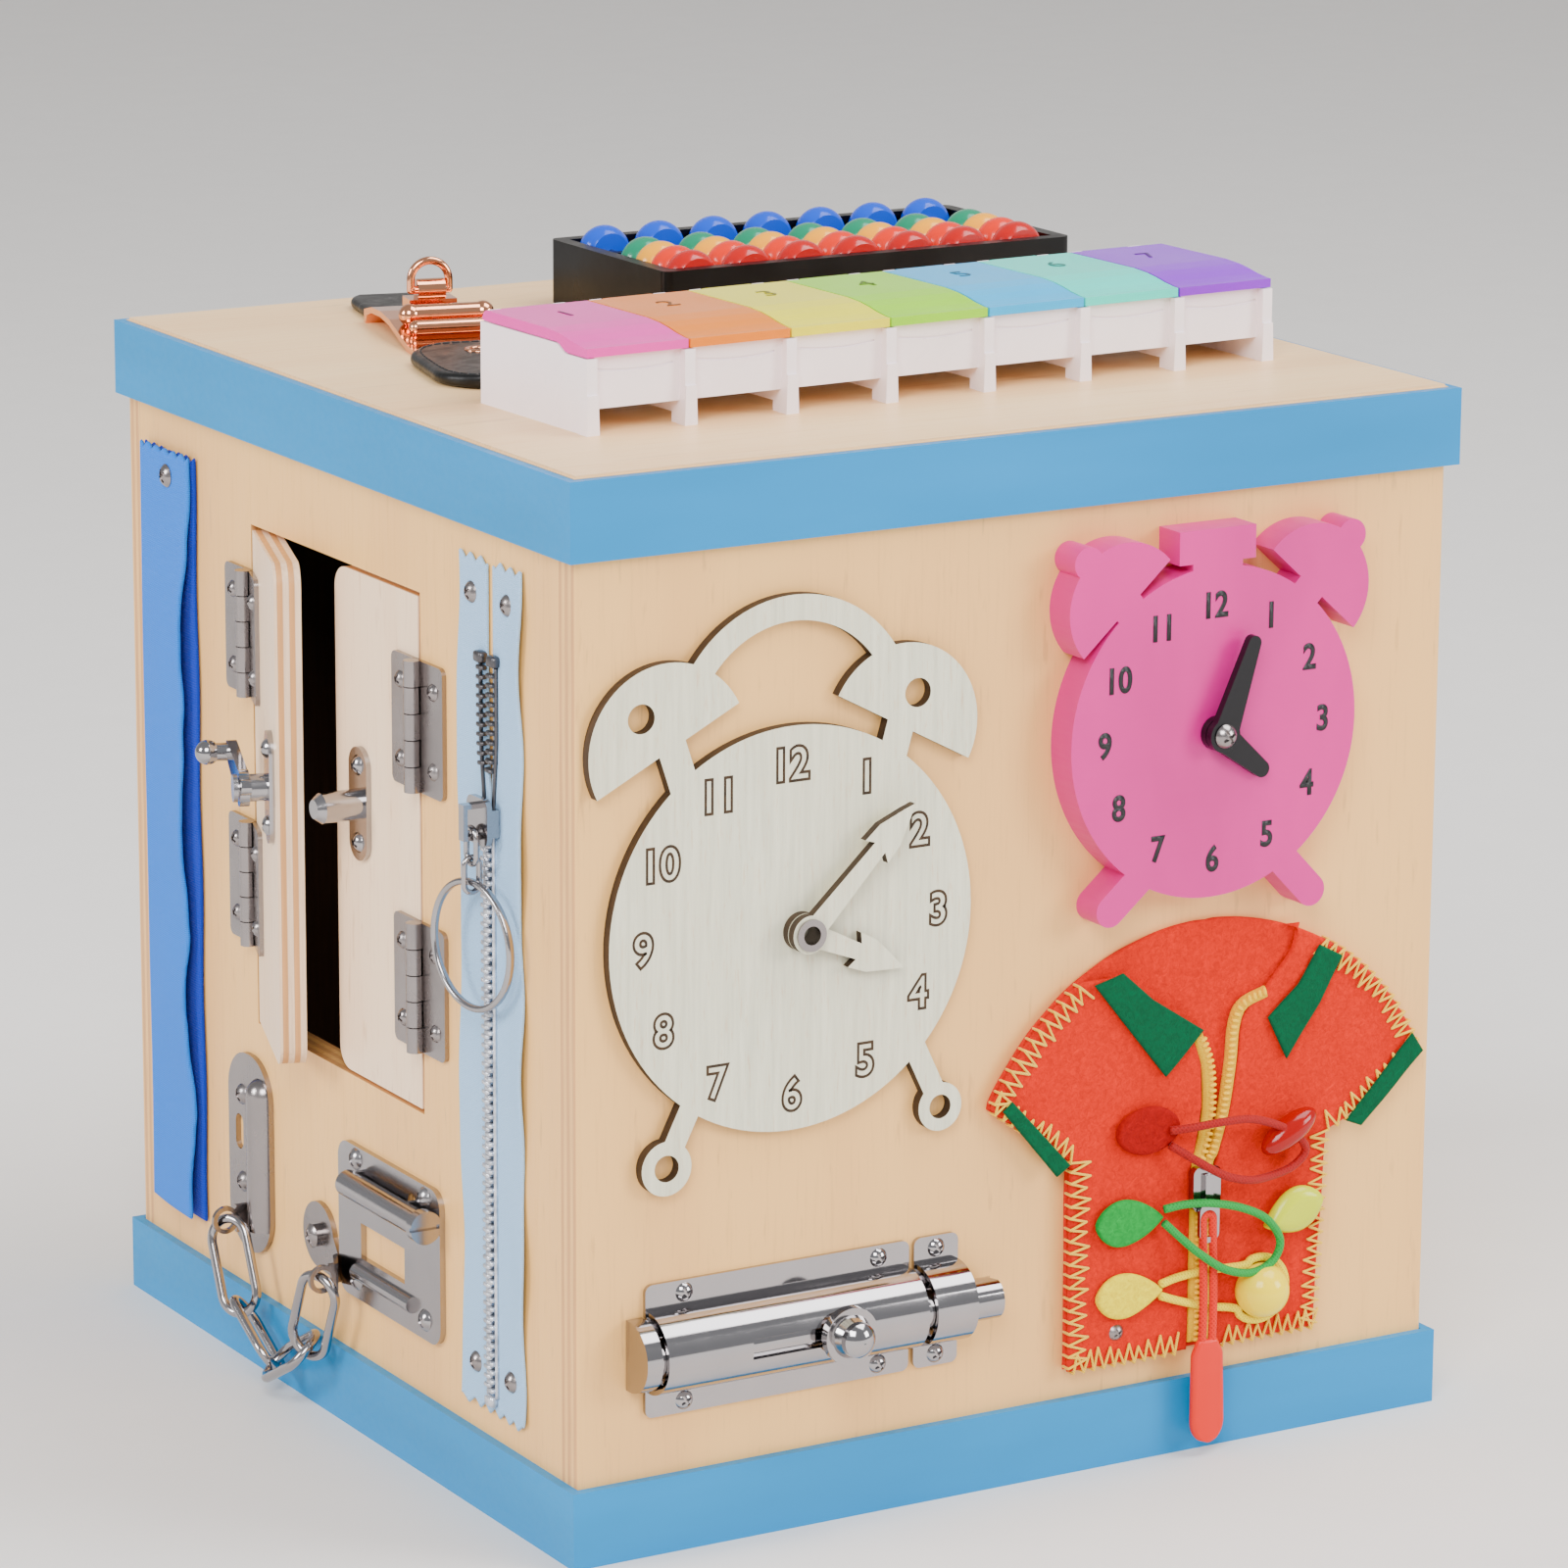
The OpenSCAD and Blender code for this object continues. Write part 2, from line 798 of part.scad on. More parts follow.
// ---------------------------------------------------------------- guard plate
module guard_plate() {
    lug_t = 1.5;
    color("gainsboro")
        on_left(guard_u, guard_v) {
            difference() {
                linear_extrude(guard_t)
                    difference() {
                        rrect(guard_w, guard_h, 5);
                        translate([-3.5, -4.2])
                            square([25, 9.6], center = true);
                        translate([13.5, 14.5])
                            circle(2.2);
                    }
            }
            // Pressed rib under the window
            translate([-guard_w * 0.32, -guard_h * 0.32, guard_t])
                rotate([0, 90, 0])
                    intersection() {
                        cylinder(h = guard_w * 0.56, r = 2.2);
                        translate([-2.2, -2.2, 0])
                            cube([2.2, 4.4, guard_w]);
                    }
            // Round bar between two lugs, with a slotted end
            translate([0, bar_v - guard_v, bar_w])
                rotate([0, 90, 0])
                    difference() {
                        union() {
                            translate([0, 0, -16])
                                cylinder(h = 42, r = bar_r);
                            translate([0, 0, 26])
                                cylinder(h = 3, r = bar_r + 0.9);
                        }
                        translate([0, 0, 29])
                            cube([2 * bar_r + 3, 1.2, 1.8], center = true);
                    }
            for (x = [-14, 15.9])
                translate([x, bar_v - guard_v - bar_r, 0])
                    cube([lug_t, 2 * bar_r, bar_w]);
            for (x = [-18.5, 20.5])
                for (y = [-15.4, 17.3])
                    translate([x, y, guard_t])
                        screw(6, 1.7);
        }
}

// ---------------------------------------------------------------- strap and zip
module hook_loop_strap() {
    teeth = 6;
    step = strap_w / teeth;
    color("royalblue")
        on_left(strap_u, strap_v)
            linear_extrude(3.4)
                polygon(concat(
                    [[-strap_w / 2, 0], [strap_w / 2, 0], [strap_w / 2, strap_len - 3]],
                    [for (i = [1:2 * teeth - 1])
                        [strap_w / 2 - i * step / 2, strap_len - (i % 2 == 0 ? 3 : 0)]],
                    [[-strap_w / 2, strap_len - 3]]));
}

// Half width of the parting between the tapes at height v
function parting(v) = v <= zip_close_v ? 0.15 : min(part_half + 0.5, 0.15 + (v - zip_close_v) * 0.1);

module zip_tape() {
    teeth = 5;
    half = zip_w / 2;
    vs = [2.5, zip_close_v - zip_v, zip_close_v - zip_v + 13.5];
    step = (half - 3) / teeth;
    linear_extrude(tape_t)
        polygon(concat(
            [for (v = vs) [parting(v + zip_v), v]],
            [for (i = [0:2 * teeth])
                [part_half + 0.5 + i * (half - part_half - 0.5) / (2 * teeth),
                    zip_len - (i % 2 == 0 ? 2.5 : 0)]],
            [for (i = [0:2 * teeth - 1])
                [half - i * (half - 0.15) / (2 * teeth), i % 2 == 0 ? 2.5 : 0]]));
}

module zip_tapes() {
    color("lightblue")
        on_left(zip_u, zip_v) {
            zip_tape();
            mirror([1, 0, 0])
                zip_tape();
        }
}

// Comb of teeth from v0 to v1, its inner edge on x = 0, teeth towards -x
module tooth_comb(v0, v1, reach, back) {
    n = floor((v1 - v0) / tooth_pitch);
    translate([reach, v0])
        square([back, n * tooth_pitch]);
    for (i = [0:n - 1])
        translate([0, v0 + i * tooth_pitch])
            square([reach + 0.01, tooth_pitch * 0.42]);
}

module tooth_side(shift) {
    linear_extrude(teeth_t) {
        translate([-0.9, shift])
            tooth_comb(teeth_lo, zip_close_v - 6, 2.6, 0.9);
        translate([part_half, shift])
            tooth_comb(zip_close_v + 10, teeth_hi, tooth_w - 0.9, 0.9);
        // Run-in where the rows part under the slider
        polygon([[1.7, zip_close_v - 6.5 + shift], [2.6, zip_close_v - 6.5 + shift],
            [part_half + tooth_w, zip_close_v + 10 + shift],
            [part_half + tooth_w - 0.9, zip_close_v + 10.5 + shift]]);
    }
}

module zip_teeth() {
    color("dimgray")
        on_left(zip_u, 0, tape_t) {
            tooth_side(0);
            mirror([1, 0, 0])
                tooth_side(tooth_pitch / 2);
        }
}

// Slider: a top plate with side flanges over the teeth and a bridge for the pull
module zip_slider() {
    wall = 1.6;
    half = slider_in + wall;
    color("silver")
        on_left(zip_u, slider_v, tape_t + gap) {
            translate([0, 0, slider_w0 - tape_t - gap])
                linear_extrude(1.4)
                    rrect(2 * half, slider_l, 2.5);
            for (s = [-1, 1])
                translate([s * (half - wall / 2), 0, (slider_w0 - tape_t) / 2])
                    cube([wall, slider_l - 5, slider_w0 - tape_t], center = true);
            translate([0, 0, slider_w0 - tape_t - gap + 1.2])
                difference() {
                    translate([-bridge_w / 2, -4.6, 0])
                        cube([bridge_w, 9.2, 4.6]);
                    translate([-2, -3.4, -0.1])
                        cube([4, 6.8, 3.5]);
                }
        }
}

// Pull: two short links from the slider's bridge, then the split ring
module zip_pull() {
    color("gainsboro")
        on_left(zip_u, pull_v, pull_w) {
            rotate([0, 0, -90])
                pull_link(pull_a, bridge_w + 4 * pull_wire_r + 4 * gap);
            translate([0, -(pull_a - 3 * pull_wire_r - gap / 2 - pull_wire_r), 0])
                rotate([0, 0, -90])
                    rotate([90, 0, 0])
                        pull_link(pull_b, 5.6);
            translate([0, -ring_drop - (ring_d / 2 - ring_t / 2), 0])
                rotate([0, ring_tilt, 0])
                    rotate_extrude()
                        translate([ring_d / 2 - ring_t / 2, 0])
                            rrect(ring_t, 2, 0.8);
        }
}

// Oval wire loop along +x from the origin, in the x-y plane
module pull_link(len, w) {
    wire = pull_wire_r;
    r = w / 2 - wire;
    translate([w / 2, 0, 0]) {
        for (s = [-1, 1])
            translate([0, s * r, 0])
                rotate([0, 90, 0])
                    cylinder(h = len - w, r = wire, $fn = 24);
        rotate([0, 0, 90])
            rotate_extrude(angle = 180, $fn = 48)
                translate([r, 0])
                    circle(wire, $fn = 24);
        translate([len - w, 0, 0])
            rotate([0, 0, -90])
                rotate_extrude(angle = 180, $fn = 48)
                    translate([r, 0])
                        circle(wire, $fn = 24);
    }
}

// ---------------------------------------------------------------- loose screws and clock pivots
module panel_fasteners() {
    color("silver") {
        on_left(strap_u + 2.4, strap_v + strap_len - 6, 3.4)
            screw(6.4, 1.6);
        for (v = [zip_v + 12, zip_v + zip_len - 10])
            for (s = [-1, 1])
                on_left(zip_u + s * 9.4, v, tape_t)
                    screw(5.6, 1.6);
        on_spot(wclock_u, wclock_at, 2, -0.5, wclock_t)
            clock_rivet();
        on_spot(pclock_u, pclock_at, 0, 0, pclock_t) {
            cylinder(h = 2 * phand_t + 3 * gap, r = pin_screw_r);
            translate([0, 0, 2 * phand_t + 3 * gap])
                screw(6.3, 2);
        }
        on_spot(shirt_u, shirt_at, -24, 8.5, 2 * felt_t)
            screw(4.4, 1.2);
    }
}

// Hollow rivet that the wooden hands turn on
module clock_rivet() {
    h = 2 * whand_t + 3 * gap;
    difference() {
        union() {
            cylinder(h = h + 0.6, r = whole_pivot_r);
            translate([0, 0, h])
                cylinder(h = 0.6, r = whole_pivot_r + 0.8);
        }
        translate([0, 0, -1])
            cylinder(h = h + 3, r = whole_pivot_r - 0.9);
    }
}

// ---------------------------------------------------------------- wooden clock
module wood_clock() {
    bell_l = [-35, 49];
    bell_r = [31.5, 47.5];
    color("blanchedalmond")
        on_spot(wclock_u, wclock_at)
            linear_extrude(wclock_t)
                difference() {
                    union() {
                        circle(wclock_r);
                        translate(bell_l)
                            half_disc(22, 116.8);
                        translate(bell_r)
                            half_disc(21.3, 62);
                        bar2d([-29, 35], bell_l + [0, 4], 8);
                        bar2d([27, 36], bell_r + [0, 4], 8);
                        handle_arc();
                        bar2d([-28, -40], [-33.6, -51.2], 6);
                        bar2d([35, -34], [41.4, -47.4], 6);
                        translate([-35.5, -56.3])
                            circle(7);
                        translate([43.1, -51.8])
                            circle(6.3);
                    }
                    translate([-42.5, 57.9])
                        circle(3.7);
                    translate([35.5, 55.8])
                        circle(3.7);
                    translate([-35.5, -56.3])
                        circle(3.4);
                    translate([43.1, -51.8])
                        circle(3.1);
                }
}

// Carrying handle: a band bent over the two bells
module handle_arc() {
    translate([0, 49.6])
        intersection() {
            difference() {
                circle(34.6);
                circle(28.1);
            }
            translate([-40, 10])
                square([80, 40]);
        }
}

// Flat hand with a spade tip, along +x, bored for its pivot
module spade_hand(len, waist) {
    tip = 13;
    linear_extrude(whand_t)
        difference() {
            union() {
                circle(waist + 0.9);
                polygon([[0, -waist * 0.78], [len - tip, -waist * 0.5],
                    [len - tip, waist * 0.5], [0, waist * 0.78]]);
                polygon([[len - tip - 2.5, -4.6], [len - tip + 3, -4.2], [len - 3, -1.4], [len, 0],
                    [len - 3, 1.4], [len - tip + 3, 4.2], [len - tip - 2.5, 4.6], [len - tip, 0]]);
            }
            circle(whole_pivot_r + pin_fit);
        }
}

module wood_hour_hand() {
    color("antiquewhite")
        on_spot(wclock_u, wclock_at, 2, -0.5, whour_w)
            rotate([0, 0, -24])
                spade_hand(whour_len, 4);
}

module wood_minute_hand() {
    color("antiquewhite")
        on_spot(wclock_u, wclock_at, 2, -0.5, wminute_w)
            rotate([0, 0, 45])
                spade_hand(wminute_len, 4);
}

// ---------------------------------------------------------------- painted clock
module pink_bell(a) {
    half_disc(17, a);
    rotate([0, 0, a])
        translate([17.2, 0])
            circle(4.2);
}

module pink_clock() {
    color("hotpink")
        on_spot(pclock_u, pclock_at)
            difference() {
                linear_extrude(pclock_t) {
                    circle(pclock_r);
                    translate([-27, 34.6])
                        pink_bell(132);
                    translate([29.4, 34])
                        pink_bell(48);
                    bar2d([-20, 26], [-28, 37], 9);
                    bar2d([20, 26], [30, 36], 9);
                    translate([-11.6, 44])
                        square([23, 8.6]);
                    translate([-7.5, 38])
                        square([15, 8]);
                    bar2d([-20, -34], [-30.5, -43], 8.4);
                    bar2d([20, -34], [30.7, -45.2], 8.4);
                }
                translate([0, 0, pclock_t])
                    cylinder(h = 1, r = 0.5);
            }
}

// Blunt tapered hand along +x, bored for its screw
module blunt_hand(len, w0, w1) {
    linear_extrude(phand_t)
        difference() {
            union() {
                circle(w0 / 2 + 0.6);
                polygon([[0, -w0 / 2], [len - w1 / 2, -w1 / 2], [len - w1 / 2, w1 / 2], [0, w0 / 2]]);
                translate([len - w1 / 2, 0])
                    circle(w1 / 2);
            }
            circle(pin_screw_r + pin_fit);
        }
}

module pink_hour_hand() {
    color("black")
        on_spot(pclock_u, pclock_at, 0, 0, phour_w)
            rotate([0, 0, -39])
                blunt_hand(phour_len, 7.6, 4.4);
}

module pink_minute_hand() {
    color("black")
        on_spot(pclock_u, pclock_at, 0, 0, pminute_w)
            rotate([0, 0, 70])
                blunt_hand(pminute_len, 7.6, 3.8);
}

// ---------------------------------------------------------------- felt shirt
// Outline of the shirt about its middle line, hem on y = 0
module shirt_outline() {
    collar_v = 41.5;
    intersection() {
        translate([3, collar_v])
            circle(73);
        union() {
            translate([-80, 70])
                square([160, 60]);
            polygon([[-80, 78], [-62.5, 73.3], [-39.5, 56], [-38.5, 57.5], [-38.5, 0],
                [37.8, 0], [40.6, 55], [44.5, 54.5], [69.5, 71.3], [80, 78]]);
        }
    }
}

module shirt_back() {
    color("orangered")
        on_spot(shirt_u, shirt_at)
            linear_extrude(felt_t)
                shirt_outline();
}

// Front layer: two flaps that meet at the zip and fold open at the neck
module shirt_flaps() {
    color("orangered")
        on_spot(shirt_u, shirt_at, 0, 0, felt_t)
            linear_extrude(felt_t)
                difference() {
                    shirt_outline();
                    polygon([[-3.2, -1], [6.2, -1], [6.2, 70], [24, 95.6], [18, 130], [-30, 130],
                        [-23, 103], [-3.2, 76]]);
                }
}

// Green collars and cuffs
module shirt_trim() {
    collar_l = [[-32.4, 101.6], [-25, 104.6], [1.6, 87], [-11.5, 75.8]];
    collar_r = [[35.5, 103.8], [43.3, 100.5], [26.4, 75.6], [20.8, 87]];
    cuff_l = [[-60, 73.2], [-57.2, 75.5], [-39.6, 56.2], [-43.6, 53.6]];
    cuff_r = [[66.3, 76.4], [69.8, 71.2], [50.6, 53.4], [45.8, 55.4]];
    color("darkgreen")
        on_spot(shirt_u, shirt_at, 0, 0, 2 * felt_t)
            linear_extrude(1.4)
                for (p = [collar_l, collar_r, cuff_l, cuff_r])
                    polygon(p);
}

// Closed part of the yellow zip and its two open arms at the neck
module shirt_zip() {
    color("gold")
        on_spot(shirt_u, shirt_at, 0, 0, felt_t)
            linear_extrude(2.2) {
                translate([-2.9, 2])
                    square([8.8, 36]);
                polygon([[-2.9, 37.9], [1, 37.9], [0.6, 75], [-2.9, 75]]);
                polygon([[2, 37.9], [5.9, 37.9], [5.9, 71], [21.3, 93.5], [18.5, 96], [2.4, 73]]);
            }
}

module shirt_slider() {
    color("silver")
        on_spot(shirt_u, shirt_at, 1.5, 44, shirt_slider_w) {
            linear_extrude(2.2)
                rrect(8.4, 12, 2);
            translate([-1.2, -4, 2])
                cube([2.4, 8, 1.4]);
            // Oval eye that the puller's cord hangs from
            translate([0, -8.6, 2.5])
                linear_extrude(1.2)
                    difference() {
                        rrect(6, 11, 2.6);
                        translate([0, -1])
                            rrect(3.4, 6, 1.6);
                    }
        }
}

// Puller: a flat cord under the slider's eye and a tab at its end
module shirt_pull() {
    top = 44 - 8.6 - 5.5 - gap;
    color("tomato")
        on_spot(shirt_u, shirt_at, 1.5, 0, pull_lift)
            linear_extrude(pull_t) {
                bar2d([0.6, -19.4], [0.2, -4], 10.6);
                translate([-2.4, -4])
                    square([4.8, top + 4]);
            }
}

// Leaf-shaped tab of felt, its point to the left
module leaf(len, w) {
    r = w / 2;
    circle(r);
    polygon([[-len + r, 0], [-r * 0.5, r * 0.866], [-r * 0.5, -r * 0.866]]);
}

module red_fastener() {
    color("red")
        on_spot(shirt_u, shirt_at, 0, 0, 2 * felt_t) {
            translate([-17.6, 62, 0])
                linear_extrude(2.4)
                    bar2d([-5, 0], [2.5, 0.6], 12.4);
            // Rice-shaped bead: half an ellipse turned about its long axis
            translate([26.3, 59, 4.3])
                rotate([0, 0, 30])
                    rotate([0, 90, 0])
                        rotate_extrude()
                            polygon([for (t = [-90:15:90]) [4 * cos(t), 8.4 * sin(t)]]);
        }
}

module green_fastener() {
    color("limegreen")
        on_spot(shirt_u, shirt_at, 0, 0, 2 * felt_t) {
            translate([-17.5, 38, 0])
                linear_extrude(2.4)
                    leaf(20, 12.4);
            translate([30, 34.5, 0])
                rotate([0, 0, 200])
                    linear_extrude(5)
                        leaf(17, 11.4);
        }
}

module yellow_fastener() {
    color("yellow")
        on_spot(shirt_u, shirt_at, 0, 0, 2 * felt_t) {
            translate([-17.5, 18.5, 0])
                linear_extrude(2.4)
                    leaf(20, 12);
            translate([19.8, 14.4, 0])
                intersection() {
                    sphere(8.2);
                    translate([-10, -10, 0])
                        cube([20, 20, 10]);
                }
        }
}

// Elastic loop from a tab at the origin: two strands that meet in a round end
module button_loop(len, spread, tilt) {
    r = spread / 2;
    rotate([0, 0, tilt]) {
        for (s = [-1, 1])
            translate([0, s * r, 0])
                rotate([0, 90, 0])
                    cylinder(h = len, r = loop_r, $fn = 24);
        translate([len, 0, 0])
            rotate([0, 0, -90])
                rotate_extrude(angle = 180)
                    translate([r, 0])
                        circle(loop_r, $fn = 24);
    }
}

module shirt_loops() {
    color("crimson")
        on_spot(shirt_u, shirt_at) {
            translate([-9, 61.8, pull_lift + pull_t + gap + loop_r])
                button_loop(38, 14, -4);
            translate([-10.6, 37.6, pull_lift + pull_t + gap + loop_r])
                button_loop(29, 12, -8);
            translate([-10.8, 18.8, pull_lift - gap - loop_r])
                button_loop(9, 4.4, -2);
        }
}

// ---------------------------------------------------------------- barrel bolt
// D-shaped section of the bolt's pressed housing, flat on z = 0
module d_section(r) {
    intersection() {
        union() {
            translate([0, housing_w])
                circle(r);
            translate([-r, 0])
                square([2 * r, housing_w]);
        }
        translate([-r - 1, 0])
            square([2 * r + 2, r + housing_w + 1]);
    }
}

// Length of housing along +x from the origin, bored for the rod
module housing_tube(len, bore) {
    difference() {
        rotate([90, 0, 90])
            linear_extrude(len)
                d_section(housing_r);
        for (x = [-1, len - 2.2])
            translate([x, 0, 0])
                rotate([90, 0, 90])
                    linear_extrude(3.2)
                        translate([0, -0.01])
                            intersection() {
                                d_section(housing_r - 1.2);
                                translate([-20, bolt_plate_t])
                                    square([40, 40]);
                            }
        translate([-1, 0, rod_w])
            rotate([0, 90, 0])
                cylinder(h = len + 2, r = bore);
    }
}

module bolt_housing() {
    slot = 5.2;
    color("gainsboro")
        on_front(bolt_u, bolt_v) {
            translate([bolt_len / 2, 0, 0])
                linear_extrude(bolt_plate_t)
                    difference() {
                        rrect(bolt_len, bolt_plate_h, 2);
                        square([bolt_len + 1, 2 * housing_r - 3], center = true);
                    }
            difference() {
                translate([0.5, 0, 0])
                    housing_tube(bolt_len - 1, rod_r + pin_fit);
                translate([bolt_knob_u - bolt_u - bolt_travel - slot / 2, -slot / 2, rod_w])
                    cube([bolt_travel + slot, slot, housing_r + housing_w]);
            }
            for (x = [11, bolt_len - 9])
                for (y = [-1, 1])
                    translate([x, y * (bolt_plate_h / 2 - 3.2), bolt_plate_t])
                        screw(5, 1.5);
        }
}

module bolt_keeper() {
    color("gainsboro")
        on_front(bolt_keeper_u, bolt_v) {
            translate([bolt_keeper_l / 2, 0, 0])
                linear_extrude(bolt_plate_t)
                    difference() {
                        rrect(bolt_keeper_l, bolt_plate_h, 2);
                        square([bolt_keeper_l + 1, 2 * housing_r - 3], center = true);
                    }
            translate([0.5, 0, 0])
                housing_tube(bolt_keeper_l - 1, rod_r + gap);
            for (y = [-1, 1])
                translate([bolt_keeper_l / 2, y * (bolt_plate_h / 2 - 3.2), bolt_plate_t])
                    screw(5, 1.5);
        }
}

module bolt_rod() {
    color("gainsboro")
        on_front(rod_u0, bolt_v, rod_w) {
            difference() {
                rotate([0, 90, 0])
                    cylinder(h = rod_u1 - rod_u0, r = rod_r);
                translate([rod_u1 - rod_u0 + 1.5, 0, 0])
                    rotate([0, 45, 0])
                        cube([5, 30, 5], center = true);
            }
            translate([0, 0, -rod_w + gap])
                rotate([90, 0, 90])
                    linear_extrude(4.4)
                        translate([0, 0])
                            d_section(housing_r - 1.4);
            translate([bolt_knob_u - rod_u0, 0, 0]) {
                cylinder(h = housing_r + housing_w - rod_w + gap + 0.5, r = 2.4);
                translate([0, 0, housing_r + housing_w - rod_w + gap]) {
                    cylinder(h = 2.6, r = 7.4);
                    translate([0, 0, 2.6])
                        cylinder(h = 2.4, r1 = 5.6, r2 = 4.6);
                    translate([0, 0, 5])
                        intersection() {
                            translate([0, 0, -1.5])
                                sphere(5.4);
                            cylinder(h = 6, r = 4.4);
                        }
                }
            }
        }
}

// ---------------------------------------------------------------- pill box
module pill_frame() {
    on_top(pill_pos[0], pill_pos[1])
        rotate([0, 0, pill_turn])
            children();
}

// Side profile of the tray: high at the back, dipping in an S towards the front
module tray_profile(y0, z0) {
    low = pill_h - pill_drop;
    s = pill_drop / 2;
    yf = y0 + 10;
    difference() {
        translate([y0, z0])
            square([pill_depth - y0, pill_h - z0]);
        translate([-1, low])
            square([yf + 1, pill_h]);
        translate([yf - 0.01, low])
            polygon([[0, 0], [s * 1.2, 0.25 * s], [s * 2.6, s], [s * 4, 1.75 * s], [s * 5.2, 2 * s],
                [s * 5.2, 2 * s + 3], [0, 2 * s + 3]]);
    }
}

module pill_tray() {
    color("white")
        pill_frame() {
            difference() {
                rotate([90, 0, 90])
                    linear_extrude(pill_len)
                        tray_profile(pill_front, pill_floor);
                for (i = [0:pill_bays - 1])
                    translate([i * bay + pill_wall / 2, pill_front + 2, pill_floor + 1.5])
                        cube([bay - pill_wall, pill_depth - pill_front - 4, pill_h]);
                // Curved lip line on each front panel
                for (i = [0:pill_bays - 1])
                    translate([(i + 0.5) * bay, pill_front - 1, pill_h - pill_drop + 75.8])
                        rotate([-90, 0, 0])
                            intersection() {
                                difference() {
                                    cylinder(h = 1.4, r = 80);
                                    translate([0, 0, -1])
                                        cylinder(h = 4, r = 79.4);
                                }
                                translate([-bay / 2 + pill_wall + 0.6, 74, -1])
                                    cube([bay - 2 * pill_wall - 1.2, 10, 4]);
                            }
            }
            // Walls between the bays run down to the board as feet
            for (i = [0:pill_bays])
                translate([min(max(i * bay - pill_wall / 2, 0), pill_len - pill_wall), 0, 0])
                    rotate([90, 0, 90])
                        linear_extrude(pill_wall)
                            difference() {
                                tray_profile(0.6, 0);
                                if (i > 0 && i < pill_bays)
                                    translate([pill_front + 4, -1])
                                        square([pill_depth - pill_front - 8, pill_floor * 0.6]);
                            }
            // Flared foot of each post
            for (i = [0:pill_bays])
                translate([min(max(i * bay, pill_wall / 2), pill_len - pill_wall / 2), 0, 0])
                    rotate([90, 0, 0])
                        mirror([0, 0, 1])
                            linear_extrude(pill_front + 1)
                                polygon([[-pill_wall * 0.62, 0], [pill_wall * 0.62, 0],
                                    [pill_wall / 2, pill_floor + 4], [-pill_wall / 2, pill_floor + 4]]);
            // Lugs and pins of the lids
            for (i = [0:pill_bays - 1])
                translate([(i + 0.5) * bay, pill_axis_y, pill_axis_z])
                    rotate([0, 90, 0]) {
                        for (s = [-1, 1])
                            translate([0, 0, s * 9.5 - 1.5]) {
                                cylinder(h = 3, r = pill_lug_r);
                                translate([0, -pill_lug_r - 0.8, 0])
                                    cube([5, pill_lug_r + 0.8, 3]);
                            }
                        translate([0, 0, -8.6])
                            cylinder(h = 17.2, r = pill_pin_r);
                    }
        }
}

// Arched lid of bay i: a thin crown with side cheeks and a bored knuckle
module pill_lid(i) {
    w = bay - 2 * gap;
    y0 = 1;
    y1 = pill_axis_y - pill_lug_r - gap - 0.6;
    z0 = pill_h - pill_drop + gap;
    pill_frame()
        translate([i * bay + gap, 0, 0]) {
            difference() {
                rotate([90, 0, 90])
                    linear_extrude(w)
                        lid_profile(y0, y1, z0, 0);
                translate([lid_t, 0, 0])
                    rotate([90, 0, 90])
                        linear_extrude(w - 2 * lid_t)
                            lid_profile(y0 + lid_t, y1 - lid_t, z0 - 1, lid_t);
            }
            // Arm and knuckle on the hinge pin
            difference() {
                union() {
                    translate([w / 2 - 7, pill_axis_y, pill_axis_z])
                        rotate([0, 90, 0])
                            cylinder(h = 14, r = pill_lug_r);
                    translate([w / 2 - 7, y1 - lid_t, pill_axis_z + 0.2])
                        cube([14, pill_axis_y - y1 + lid_t, pill_lug_r - 0.2]);
                }
                translate([-1, pill_axis_y, pill_axis_z])
                    rotate([0, 90, 0])
                        cylinder(h = w + 2, r = pill_pin_r + pin_fit);
            }
        }
}

// Side profile of a lid from y0 to y1, standing on the tray's rim at z0, thinned by t
module lid_profile(y0, y1, z0, t) {
    crown = pill_h + lid_rise - t;
    rim = pill_h + gap;
    s = pill_drop / 2;
    difference() {
        translate([y0, z0])
            square([y1 - y0, crown - z0]);
        // Slope from the crown down to the front lip
        translate([y0 - 1, z0 + 2.2 + (t > 0 ? 1 - t : 0)])
            polygon([[0, 0], [3, 0.15], [7, 0.7], [11, 1.5], [15, 2.1], [21, 2.5 + t / 4],
                [21, 20], [0, 20]]);
        // Rounded fall at the back
        translate([y1 - 2.5, crown - 2.5])
            difference() {
                square([3.5, 3.5]);
                circle(2.5);
            }
        // Seat that follows the S of the tray's rim
        if (t == 0)
            polygon([[10.5, 0], [10.5, z0], [10.5 + 1.2 * s, z0 + 0.25 * s], [10.5 + 2.6 * s, z0 + s],
                [10.5 + 4 * s, z0 + 1.75 * s], [10.5 + 5.2 * s, rim], [pill_depth + 9, rim],
                [pill_depth + 9, 0]]);
    }
}

module pill_lid_1() {
    color(lid_names[0])
        pill_lid(0);
}

module pill_lid_2() {
    color(lid_names[1])
        pill_lid(1);
}

module pill_lid_3() {
    color(lid_names[2])
        pill_lid(2);
}

module pill_lid_4() {
    color(lid_names[3])
        pill_lid(3);
}

module pill_lid_5() {
    color(lid_names[4])
        pill_lid(4);
}

module pill_lid_6() {
    color(lid_names[5])
        pill_lid(5);
}

module pill_lid_7() {
    color(lid_names[6])
        pill_lid(6);
}

